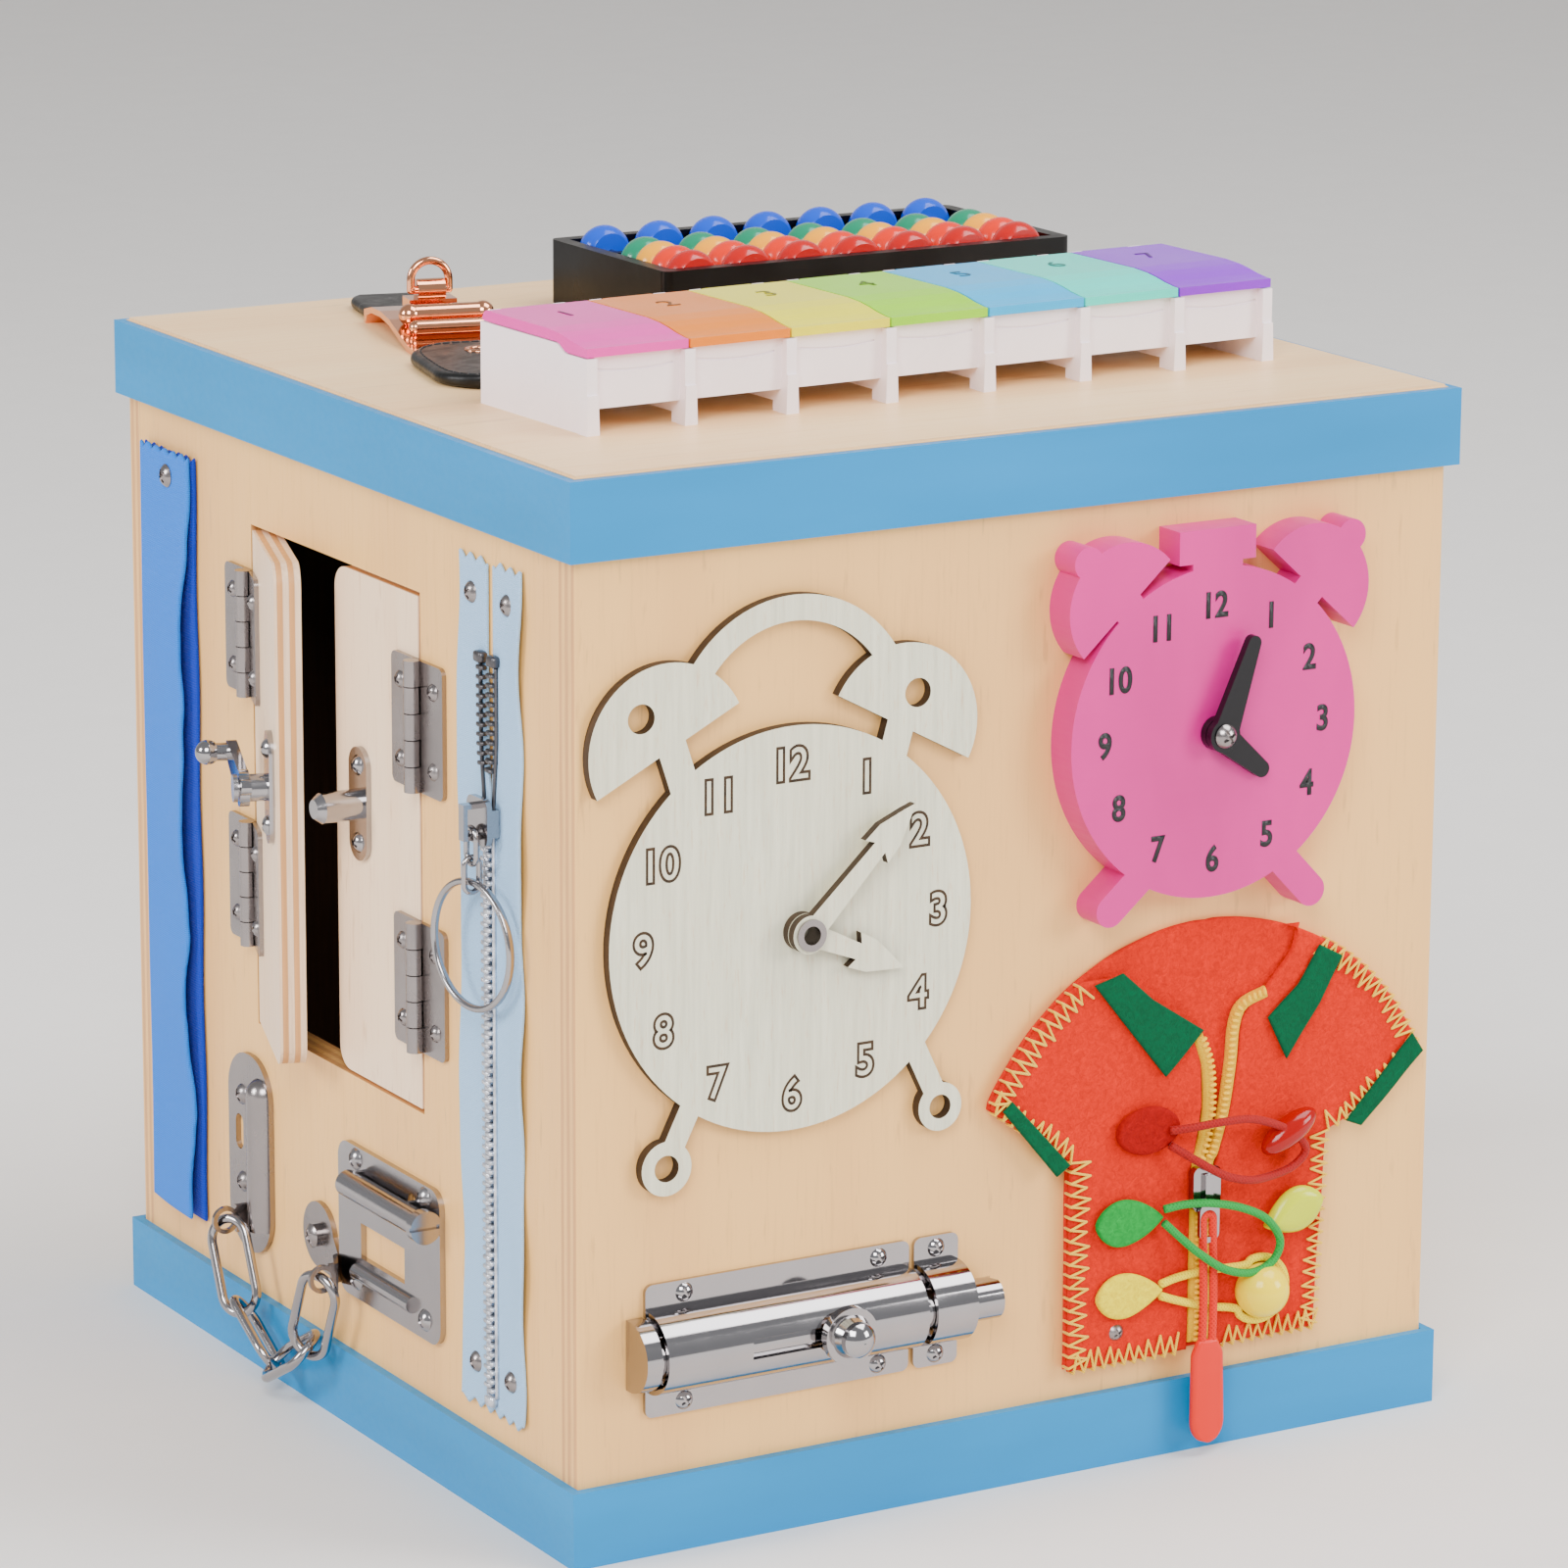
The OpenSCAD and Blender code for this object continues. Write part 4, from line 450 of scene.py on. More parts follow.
class Finish:
    """One node material: a principled shader and the textures that feed it."""

    def __init__(self, name, rgb, rough, **sockets):
        self.mat = bpy.data.materials.new(name)
        self.mat.use_nodes = True
        self.tree = self.mat.node_tree
        self.bsdf = self.tree.nodes["Principled BSDF"]
        self.put(self.bsdf, {"Base Color": lin(rgb), "Roughness": rough})
        self.put(self.bsdf, {SOCKETS[key]: value for key, value in sockets.items()})
        self.coord = self.tree.nodes.new("ShaderNodeTexCoord")
        self.height = None

    def put(self, node, values):
        """Links what comes from a node and sets what is a plain value."""
        for key, value in values.items():
            if isinstance(value, bpy.types.NodeSocket):
                self.tree.links.new(value, node.inputs[key])
            elif value is not None:
                node.inputs[key].default_value = value
        return node

    def node(self, kind, values, out=0, **settings):
        """Output of a new node with these settings and inputs."""
        node = self.tree.nodes.new("ShaderNode" + kind)
        for key, value in settings.items():
            setattr(node, key, value)
        return self.put(node, values).outputs[out]

    def space(self, scale=1, turn=(0, 0, 0), move=(0, 0, 0), of="Object"):
        """Object coordinates in metres, or the normal, turned and then stretched."""
        vector = self.coord.outputs[of]
        if any(turn):
            turn = [math.radians(a) for a in turn]
            vector = self.node("Mapping", {"Vector": vector, "Rotation": turn})
        scale = np.broadcast_to(scale, 3).tolist()
        return self.node("Mapping", {"Vector": vector, "Scale": scale, "Location": move})

    def noise(self, scale, detail=3.0, rough=0.55, distort=0.0, **space):
        """Noise with about scale lumps to the metre along each axis."""
        vector = self.space(scale, **space)
        return self.node("TexNoise", {"Vector": vector, "Scale": 1.0, "Detail": detail,
                                      "Roughness": rough, "Distortion": distort}, "Fac")

    def wave(self, scale, axis, distort, turn=(0, 0, 0)):
        """Sine bands across an axis, a length of 0.314 m divided by scale apart."""
        return self.node("TexWave", {"Vector": self.space(turn=turn), "Scale": scale,
                                     "Distortion": distort}, "Fac", bands_direction=axis)

    def cells(self, scale):
        """Distance from the middle of the nearest of scale cells to the metre."""
        return self.node("TexVoronoi", {"Vector": self.space(), "Scale": scale}, "Distance")

    def math(self, what, a, b=None):
        return self.node("Math", {0: a, 1: b}, operation=what)

    def axis(self, which, **space):
        """One coordinate of the space."""
        return self.node("SeparateXYZ", {0: self.space(**space)}, which)

    def span(self, value, low, high, to_low=0.0, to_high=1.0):
        """Value stretched from low and high to the other two, and held between them."""
        return self.node("MapRange", {"Value": value, "From Min": low, "From Max": high,
                                      "To Min": to_low, "To Max": to_high}, clamp=True)

    def mix(self, share, a, b):
        return self.node("Mix", {0: share, 6: a, 7: b}, 2, data_type="RGBA")

    def shade(self, value, low, high, a, b, share=1.0):
        """Colour a where value is low, and up to the given share of b where it is high."""
        return self.mix(self.span(value, low, high, 0.0, share), a, b)

    def steps(self, value, stops, smooth=True):
        """Colours at their places from 0 to 1, blended or each up to the next."""
        node = self.tree.nodes.new("ShaderNodeValToRGB")
        node.color_ramp.interpolation = "LINEAR" if smooth else "CONSTANT"
        ramp = node.color_ramp.elements
        while len(ramp) < len(stops):
            ramp.new(0.5)
        for element, (place, rgb) in zip(ramp, stops):
            element.position, element.color = place, rgb
        return self.put(node, {0: value}).outputs[0]

    def colour(self, socket):
        self.put(self.bsdf, {"Base Color": socket})
        return self

    def rough(self, value, low, high, to_low, to_high):
        self.put(self.bsdf, {"Roughness": self.span(value, low, high, to_low, to_high)})
        return self

    def relief(self, socket, depth, strength):
        """Adds a relief of depth mm; later ones sit on top of earlier ones."""
        self.height = self.node("Bump", {"Height": socket, "Distance": depth * MM,
                                         "Strength": strength, "Normal": self.height})
        self.put(self.bsdf, {"Normal": self.height})
        return self


def plywood(name, face, thin, turn=0.0, along=(1, 1, 0.05), seed=0.0, inner=0):
    """Veneer with fine pores, soft figure and flecks; faces that look across the board's
    thin axis keep the veneer and the others show plies. inner is the sign of the thin
    axis on the side that faces into the cube, which takes a dark tone as painted shade."""
    w = wood()
    f = Finish(name, face, 0.42, coat=0.12, coat_rough=0.35)
    turn = (0, 0, turn)
    along = np.array(along, float)
    lie = {"turn": turn, "move": (seed, seed * 0.7, seed * 1.3)}
    figure = f.noise(along * 26, 2.5, 0.5, 0.6, **lie)
    pores = f.noise(along * 900, 3.0, 0.65, **lie)
    fleck = f.noise(along * 420 * [1, 1, 3], 2.0, 0.5, **lie)
    blotch = f.noise((5, 5, 3), 2.0, 0.5, **lie)
    tone = f.shade(figure, 0.42, 0.78, lin(face), lin(w.figure), 0.55)
    tone = f.shade(pores, 0.55, 0.75, tone, lin(w.figure, 0.8), 0.28)
    tone = f.shade(fleck, 0.66, 0.74, tone, lin(w.figure, 0.65), 0.35)
    tone = f.shade(blotch, 0.35, 0.7, tone, lin(face, 1.12), 0.25)
    facing = f.axis(thin, turn=turn, of="Normal")
    # Painted shade: faces that look into the cube take the dark inside tone.
    if inner:
        within = f.math("GREATER_THAN", f.math("MULTIPLY", facing, inner), 0.5)
        painted_inside_shade = f.shade(pores, 0.3, 0.8, lin(w.inside), lin(w.inside, 0.6))
        tone = f.mix(within, tone, painted_inside_shade)
    layer = f.math("FRACT", f.math("MULTIPLY", f.axis(thin, turn=turn), 1 / (PLY * MM)))
    plies = f.steps(layer, [(0.0, lin(w.glue)), (0.06, lin(w.figure)), (0.46, lin(w.figure, 0.9)),
                            (0.52, lin(face, 0.95)), (1.0, lin(face))])
    plies = f.shade(pores, 0.4, 0.7, plies, lin(w.glue, 0.8), 0.3)
    flat = f.math("GREATER_THAN", f.math("ABSOLUTE", facing), 0.5)
    f.colour(f.mix(flat, plies, tone)).rough(pores, 0.3, 0.8, 0.34, 0.56)
    return f.relief(pores, 0.10, 0.35).relief(fleck, 0.06, 0.25).mat


def plated(name, rgb, rough, scratch):
    """Plated metal: faint clouding of the polish and fine crossing scratches."""
    f = Finish(name, rgb, rough, metal=1.0)
    cloud = f.noise(60, 3.0, 0.6)
    hair = f.noise((1500, 1500, 70), 2.0, 0.5, turn=(20, 35, 15))
    hair2 = f.noise((80, 1400, 1400), 2.0, 0.5, turn=(-25, 10, 40))
    f.put(f.bsdf, {"Roughness": f.math("ADD", f.span(cloud, 0.3, 0.75, rough * 0.7, rough * 1.7),
                                       f.span(hair, 0.6, 0.8, 0.0, 0.10 * scratch))})
    f.colour(f.shade(cloud, 0.3, 0.7, lin(rgb), lin(rgb, 0.72), 0.22))
    return f.relief(hair, 0.02, scratch).relief(hair2, 0.02, scratch).mat


def moulded(name, rgb, rough, grain=0.3, coat=0.06, shine=0.32):
    """Moulded plastic: slight unevenness of colour and gloss, and orange-peel relief."""
    f = Finish(name, rgb, rough, coat=coat, coat_rough=0.15, shine=shine)
    peel, cloud = f.noise(260, 2.0, 0.5), f.noise(35, 3.0, 0.6)
    f.colour(f.shade(cloud, 0.3, 0.7, lin(rgb), lin(rgb, 0.84), 0.3))
    return f.rough(cloud, 0.3, 0.75, rough * 0.8, rough * 1.4).relief(peel, 0.05, grain).mat


def felted(name, rgb, fuzz=1.0):
    """Felt: matted fibres as crossing stretched noises, with a soft sheen."""
    f = Finish(name, rgb, 0.95, sheen=0.22, sheen_rough=0.5, sheen_tint=lin(rgb), shine=0.2)
    mat = f.noise(700, 4.0, 0.7, 0.8)
    hair = f.noise((240, 900, 1500), 3.0, 0.6, 0.5, turn=(0, 30, 0))
    hair2 = f.noise((1400, 900, 260), 3.0, 0.6, 0.5, turn=(0, 20, 0))
    cloud = f.noise(45, 3.0, 0.6)
    tone = f.shade(mat, 0.35, 0.7, lin(rgb, 0.72), lin(rgb, 1.12))
    tone = f.shade(cloud, 0.3, 0.75, tone, lin(rgb, 0.82), 0.35)
    pale = lin(np.clip(np.array(rgb) * 1.2 + 0.03, 0, 1))
    f.colour(f.shade(hair, 0.62, 0.75, tone, pale, 0.45))
    f.relief(cloud, 0.6, 0.5).relief(mat, 0.35 * fuzz, 0.8)
    return f.relief(hair, 0.2 * fuzz, 0.7).relief(hair2, 0.2 * fuzz, 0.7).mat


def woven(name, rgb, pitch, across="Y"):
    """Narrow woven tape: ribs across, warp threads along, broken by fine noise."""
    f = Finish(name, rgb, 0.78, sheen=0.08, sheen_rough=0.4, shine=0.25)
    bands = 3.14 / (TAU * pitch * MM)
    check = f.math("MULTIPLY", f.wave(bands, "Z", 0.3), f.wave(bands * 1.2, across, 0.3))
    fine, cloud = f.noise((1200, 1200, 500), 3.0, 0.6), f.noise((50, 50, 18), 3.0, 0.6)
    tone = f.shade(check, 0.0, 0.8, lin(rgb, 0.80), lin(rgb, 1.08))
    f.colour(f.shade(cloud, 0.35, 0.7, tone, lin(rgb, 0.86), 0.4))
    return f.relief(check, 0.25, 0.7).relief(fine, 0.08, 0.6).mat


def leathered(name, rgb):
    """Smooth leather: pebbled cells, creases and a worn sheen."""
    f = Finish(name, rgb, 0.34, coat=0.05, coat_rough=0.3, shine=0.3)
    pebble, crease = f.cells(900), f.noise(90, 4.0, 0.65, 1.5)
    f.colour(f.shade(crease, 0.5, 0.8, lin(rgb), lin(np.array(rgb) + 0.03), 0.5))
    f.rough(crease, 0.3, 0.75, 0.28, 0.52)
    return f.relief(pebble, 0.08, 0.5).relief(crease, 0.25, 0.4).mat


def corded(name, rgb):
    """Elastic cord: braid strands that cross over each other and fine fuzz."""
    f = Finish(name, rgb, 0.6, sheen=0.05, shine=0.25)
    one, two = (f.wave(420, "X", 0.4, (0, slant, 0)) for slant in (38, -38))
    braid = f.math("MAXIMUM", one, two)
    f.colour(f.mix(braid, lin(rgb, 0.66), lin(rgb, 1.06)))
    return f.relief(braid, 0.18, 0.6).relief(f.noise(1800), 0.05, 0.5).mat


def mottled(name, rgb, rough, scale, dark, light):
    """A plain surface whose colour wanders between a dark and a light tone."""
    f = Finish(name, rgb, rough)
    return f.colour(f.mix(f.noise(scale), dark, light)).mat


def dress(nodes, finish):
    """Gives CAD nodes a finish."""
    for name in nodes:
        slots = NODES[name].data.materials
        slots.clear()
        slots.append(finish)


# ---------------------------------------------------------------- cabinet
class BUSY_OT_cabinet(bpy.types.Operator):
    """Veneer, plies and trim of the cabinet and its doors"""
    bl_idname = "busy.cabinet"
    bl_label = "Cabinet"

    def execute(self, context):
        w = wood()
        door_sides, level = {"seed": 3.1}, {"along": (0.05, 1, 1), "seed": 7.7}
        for side, face, thin, inner, grain in (
                ("front", w.birch, "Y", 1, {}), ("back", w.birch, "Y", -1, {}),
                ("left", w.birch, "X", 1, door_sides), ("right", w.birch, "X", -1, door_sides),
                ("top", w.top, "Z", -1, level), ("bottom", w.top, "Z", 1, level)):
            finish = plywood(f"birch_{side}", face, thin, inner=inner, **grain)
            dress([f"{side}_panel"], finish)
        dress(["right_door"], plywood("pale_right", w.pale, "X", seed=1.9))
        dress(["left_door"], plywood("pale_left", w.pale, "X", turn=19, seed=5.3))
        f = Finish("blue_trim", w.trim, 0.38, shine=0.22)
        cloud, peel = f.noise((8, 8, 40), 3.0, 0.5), f.noise((300, 300, 500), 3.0, 0.6)
        f.colour(f.shade(cloud, 0.3, 0.7, lin(w.trim, 0.9), lin(w.trim, 1.08)))
        f.rough(peel, 0.3, 0.7, 0.3, 0.46).relief(peel, 0.08, 0.35).relief(cloud, 0.3, 0.2)
        dress(["trim_bands"], f.mat)
        return {"FINISHED"}


class BUSY_OT_metalwork(bpy.types.Operator):
    """Hinges, latch, chain, guard plate, bolt, sliders and screws"""
    bl_idname = "busy.metalwork"
    bl_label = "Metalwork"

    def execute(self, context):
        h = hardware()
        dress(["hinge_frame_leaves", "left_door_leaves", "right_door_leaves", "chain_track",
               "chain_bracket", "panel_fasteners", "abacus_rods"],
              plated("nickel", h.nickel, 0.24, 0.5))
        dress(["guard_plate", "latch_plate", "latch_keeper"],
              plated("pressed_plate", h.chrome, 0.16, 0.35))
        dress(["latch_lever", "bolt_housing", "bolt_keeper", "bolt_rod", "shirt_slider"],
              plated("chrome", h.chrome, 0.08, 0.12))
        dress(["chain_links", "zip_slider", "zip_pull"],
              plated("bright_links", h.chrome, 0.14, 0.3))
        return {"FINISHED"}


# ---------------------------------------------------------------- strap and zip
class BUSY_OT_strap(bpy.types.Operator):
    """Hook-and-loop strap of two layers, the front one loose and wavy"""
    bl_idname = "busy.strap"
    bl_label = "Strap"

    def execute(self, context):
        c = fabric()
        low, high, mid, half = 31.0, 243.0, -99.0, 15.5
        heights = [28, 48, 61, 73, 89, 102, 111, 141, 149, 174, 197, 217, 228, 243]
        shown = [6.8, 5.6, 2.4, 5, 8.4, 7.6, 4.6, 9.4, 8, 6.2, 8, 3.2, 1.6, 1.2]

        def back_seen(v):
            """Width of the back layer that shows beside the front one at height v."""
            return np.interp(v, heights, shown) + 0.35 * np.sin(v / 2.9)

        def billow(u, v):
            """The front layer lifts towards its free edge, most where the back layer shows,
            and swells a little along its middle."""
            s = np.clip((u - mid + half) / (2 * half - 4), 0, 1)
            lift = 0.11 * c.strap_wave * back_seen(v) * s * s
            swell = 0.5 * np.sin(math.pi * s) * (1 + np.sin(v / 13.0))
            return (lift + swell) * np.clip((high - 8 - v) / 14, 0.05, 1)

        def pinked(p):
            """The door face, with the last 6 mm at the top drawn into a zigzag."""
            end = np.clip((p[:, 1] - high + 6) / 6, 0, 1)
            zigzag = 2.2 * np.abs((p[:, 0] - mid) / half * 6 % 2 - 1)
            return on_door_face(p + spots(0, (zigzag - 1.2) * end, 0))

        v = np.linspace(low, high, 90)
        t = (v - low) / (high - low)
        back = sheet_piece(spots(mid - half + 0.3 * np.sin(9 * t), v),
                           spots(mid + half - 0.9 * np.sin(12 * t + 1) ** 2, v),
                           low=0.25, thick=1.3, rows=110, cols=20)
        front = sheet_piece(spots(mid - half + 0.5 + 0.35 * np.sin(6 * t + 0.4), v + 0.5),
                            spots(mid + half - 0.5 * back_seen(v), v + 0.5),
                            low=1.75, thick=1.4, rows=140, cols=24, ripple=billow)
        for name, shape, finish, under in (
                ("back", back, woven("strap_hooks", c.strap_back, 1.1), "left_panel"),
                ("front", front, woven("strap_loops", c.strap_front, 0.9), "strap_back_layer")):
            layer = piece(f"strap_{name}_layer", pinked, shape, finish,
                          "hook_loop_strap")
        return {"FINISHED"}


def parting(v, closed, opened, run=(182.0, 204.0)):
    """Distance from the zip's middle line: closed below the slider, eased to opened above it."""
    s = np.clip((v - run[0]) / (run[1] - run[0]), 0, 1)
    return closed + (opened - closed) * s * s * (3 - 2 * s)


class BUSY_OT_long_zip(bpy.types.Operator):
    """Two woven tapes and their rows of teeth"""
    bl_idname = "busy.long_zip"
    bl_label = "Long zip"

    def execute(self, context):
        finish = woven("zip_weave", fabric().tape, 0.75)
        v = np.linspace(ZIP_V, ZIP_TOP, 120)
        for name, side, sway, slow in (("left", -1, 0.35, 14.0), ("right", 1, 1.0, 8.5)):
            wander = (0.5 * np.sin(v / 9.0) + 0.5 * np.sin(v / 5.3 + 1)) * sway
            edges = [spots(side * parting(v, 0.15, 1.5), v), spots(side * 16.2 + wander, v)]

            def lift(u, v, side=side, slow=slow):
                """The tape's outer edge lifts a little in slow waves."""
                reach = np.clip((side * u - 9) / 8, 0, 1)
                return reach * (0.55 + 0.55 * np.sin(v / slow)) * 1.1

            shape = sheet_piece(*edges[::side], low=0.2, thick=0.95, rows=150, cols=22,
                                soft=0.5, ripple=lift)
            tape = piece(f"zip_tape_{name}", self.pinked, shape, finish, "zip_tapes")
        self.teeth(hardware())
        return {"FINISHED"}

    def pinked(self, p):
        """The zip's place on the door face, with 4 mm at each end drawn into a zigzag."""
        tooth = np.abs(p[:, 0] / 2.6 % 2 - 1) * 2.6 - 1.3
        upper = np.clip((p[:, 1] - ZIP_TOP + 4) / 4, 0, 1)
        end = upper - np.clip((ZIP_V + 4 - p[:, 1]) / 4, 0, 1)
        return on_door_face(p + spots(ZIP_U, tooth * np.abs(end) * 0.9 - end * 1.2, 0))

    def tooth_metal(self, h):
        """Bright where the zip is closed and darker above the slider, as painted shade of the
        parted rows.
        """
        f = Finish("zip_metal_painted_shade", h.teeth, 0.3, metal=0.8)
        # Painted shade: above the slider the teeth turn from bright to the dark teeth tone.
        opened = f.span(f.axis("Z"), 0.181, 0.187)
        cloud = f.noise(300, 3.0, 0.6)
        tone = f.mix(opened, lin((0.90, 0.91, 0.94)), lin(h.teeth))
        f.colour(f.shade(cloud, 0.35, 0.7, tone, lin(h.teeth, 0.6), 0.5))
        return f.rough(cloud, 0.3, 0.7, 0.22, 0.42).relief(cloud, 0.05, 0.4).mat

    def teeth(self, h):
        """Each tooth is a soft-edged block that grips the tape's corded edge; the two rows
        are half a pitch apart and cross the middle line where the zip is closed."""
        pitch, parts = 2.4, []
        block = rounded_block((3.4, 1.25, 2.0), power=0.5, nu=7, nv=10)
        for side in (-1, 1):
            v = np.arange(34.0, 219.0, pitch) + (pitch / 2 if side < 0 else 0)
            v = v[(v < 181) | (v > 194)]
            slope = side * np.where((v > 182) & (v < 204), 0.1, 0.0)
            places = spots(side * parting(v, 0.75, 2.5) + ZIP_U, v, 2.15)
            parts.append(copies(block, places, unit(spots(1.0, -slope, 0)),
                                unit(spots(slope, 1.0, 0))))
            v = np.linspace(32.0, 221.0, 160)
            line = spots(side * parting(v, 2.3, 4.1) + ZIP_U, v, 1.5)
            parts.append(tube(line, radius=0.55, up=(0, 0, -1), sides=8))
        x, v = np.array([0.0, 3.4, -3.4]), np.array([31.0, 222.5, 222.5])
        axes = np.eye(3)
        stop = rounded_block((4.4, 3.0, 2.6), power=0.5)
        places = spots(x + ZIP_U, v, 1.9)
        parts.append(copies(stop, places, axes[[0, 0, 0]], axes[[1, 1, 1]]))
        piece("zip_tooth_rows", on_door_face, together(parts), self.tooth_metal(h),
              "zip_teeth")


# ---------------------------------------------------------------- clocks
class BUSY_OT_clocks(bpy.types.Operator):
    """Scorched and printed numerals, and the faces' finishes"""
    bl_idname = "busy.clocks"
    bl_label = "Clocks"

    def execute(self, context):
        w = wood()
        dress(["wood_clock", "wood_hour_hand", "wood_minute_hand"], self.laser_ply(w))
        dress(["pink_hour_hand", "pink_minute_hand"], moulded("hand_black", w.ink, 0.32))
        f = Finish("scorched_line", w.scorch, 0.85)
        soot = f.noise(700, 3.0, 0.6)
        f.colour(f.shade(soot, 0.3, 0.7, lin(w.scorch, 0.55), lin(w.scorch, 1.7)))
        numerals = dial((-68.5, 156.5), radius=42.0, size=8.4, low=3.0, outline=0.38,
                        weight=0.42, narrow=0.95, flat=0.35)
        piece("wood_clock_numerals", on_clock_face, numerals, f.mat)
        light = lin(np.array(w.ink) + 0.04)
        ink = mottled("printed_ink", w.ink, 0.45, scale=900, dark=lin(w.ink, 0.7), light=light)
        numerals = dial((51.0, 194.0), radius=33.0, size=6.8, low=9.56, weight=0.26, narrow=0.88)
        piece("pink_clock_numerals", on_clock_face, numerals, ink)
        f = Finish("pink_paint", w.pink, 0.42, coat=0.08, coat_rough=0.4)
        brush, cloud = f.noise((60, 60, 900), 3.0, 0.6), f.noise((25, 25, 12), 3.0, 0.55, 0.5)
        f.colour(f.shade(cloud, 0.3, 0.72, lin(w.pink, 0.88), lin(w.pink, 1.1)))
        f.rough(brush, 0.3, 0.7, 0.34, 0.52).relief(brush, 0.06, 0.4)
        dress(["pink_clock"], f.mat)
        return {"FINISHED"}

    def laser_ply(self, w):
        """Raw thin ply: grey-cream veneer with fine grain, cut edges burnt brown."""
        f = Finish("laser_ply", w.laser, 0.7)
        grain = f.noise((520, 520, 26), 4.0, 0.65, 0.2)
        pores = f.noise((1500, 1500, 160), 3.0, 0.6)
        cloud = f.noise((22, 22, 14), 3.0, 0.6)
        tone = f.shade(grain, 0.35, 0.7, lin(w.laser, 1.08), lin(w.laser, 0.84))
        tone = f.shade(pores, 0.58, 0.72, tone, lin(w.figure, 0.8), 0.35)
        tone = f.shade(cloud, 0.35, 0.7, tone, lin((0.87, 0.82, 0.70)), 0.3)
        flat = f.math("GREATER_THAN", f.math("ABSOLUTE", f.axis("Y", of="Normal")), 0.5)
        burnt = f.shade(grain, 0.3, 0.7, lin(w.scorch, 0.6), lin(w.scorch, 1.6))
        f.colour(f.mix(flat, burnt, tone))
        return f.relief(grain, 0.1, 0.4).relief(pores, 0.05, 0.4).mat


# ---------------------------------------------------------------- shirt
SHIRT_SIDES = {  # heights, and the x of the straight side and of the sleeve's underside there
    -1: ([0, 56.5, 57.5, 73.3, 78], [-38.5, -38.5, -40.5, -62.5, -80]),
    1: ([0, 54.0, 55.2, 71.3, 78], [37.8, 40.5, 45.5, 69.5, 80]),
}


def shirt_edge(y, side):
    """Left (-1) or right (1) edge of the shirt at heights y: the hem's straight side, then the
    slanting underside of the sleeve, all inside the circle that rounds sleeves and neck."""
    x, mid, radius = SHIRT_ROUND
    reach = np.sqrt(np.clip(radius ** 2 - (y - mid) ** 2, 0, None))
    body = np.interp(y, *SHIRT_SIDES[side])
    return spots(side * np.minimum(side * x + reach, side * body), y)


def shirt_rows(straight=100.0, top=114.45):
    """Heights from hem to neck, closer together towards the round top."""
    _, mid, radius = SHIRT_ROUND
    bend = np.linspace(math.asin((straight - mid) / radius), math.asin((top - mid) / radius), 30)
    return np.concatenate([np.linspace(0, straight, 90, endpoint=False),
                           mid + radius * np.sin(bend)])


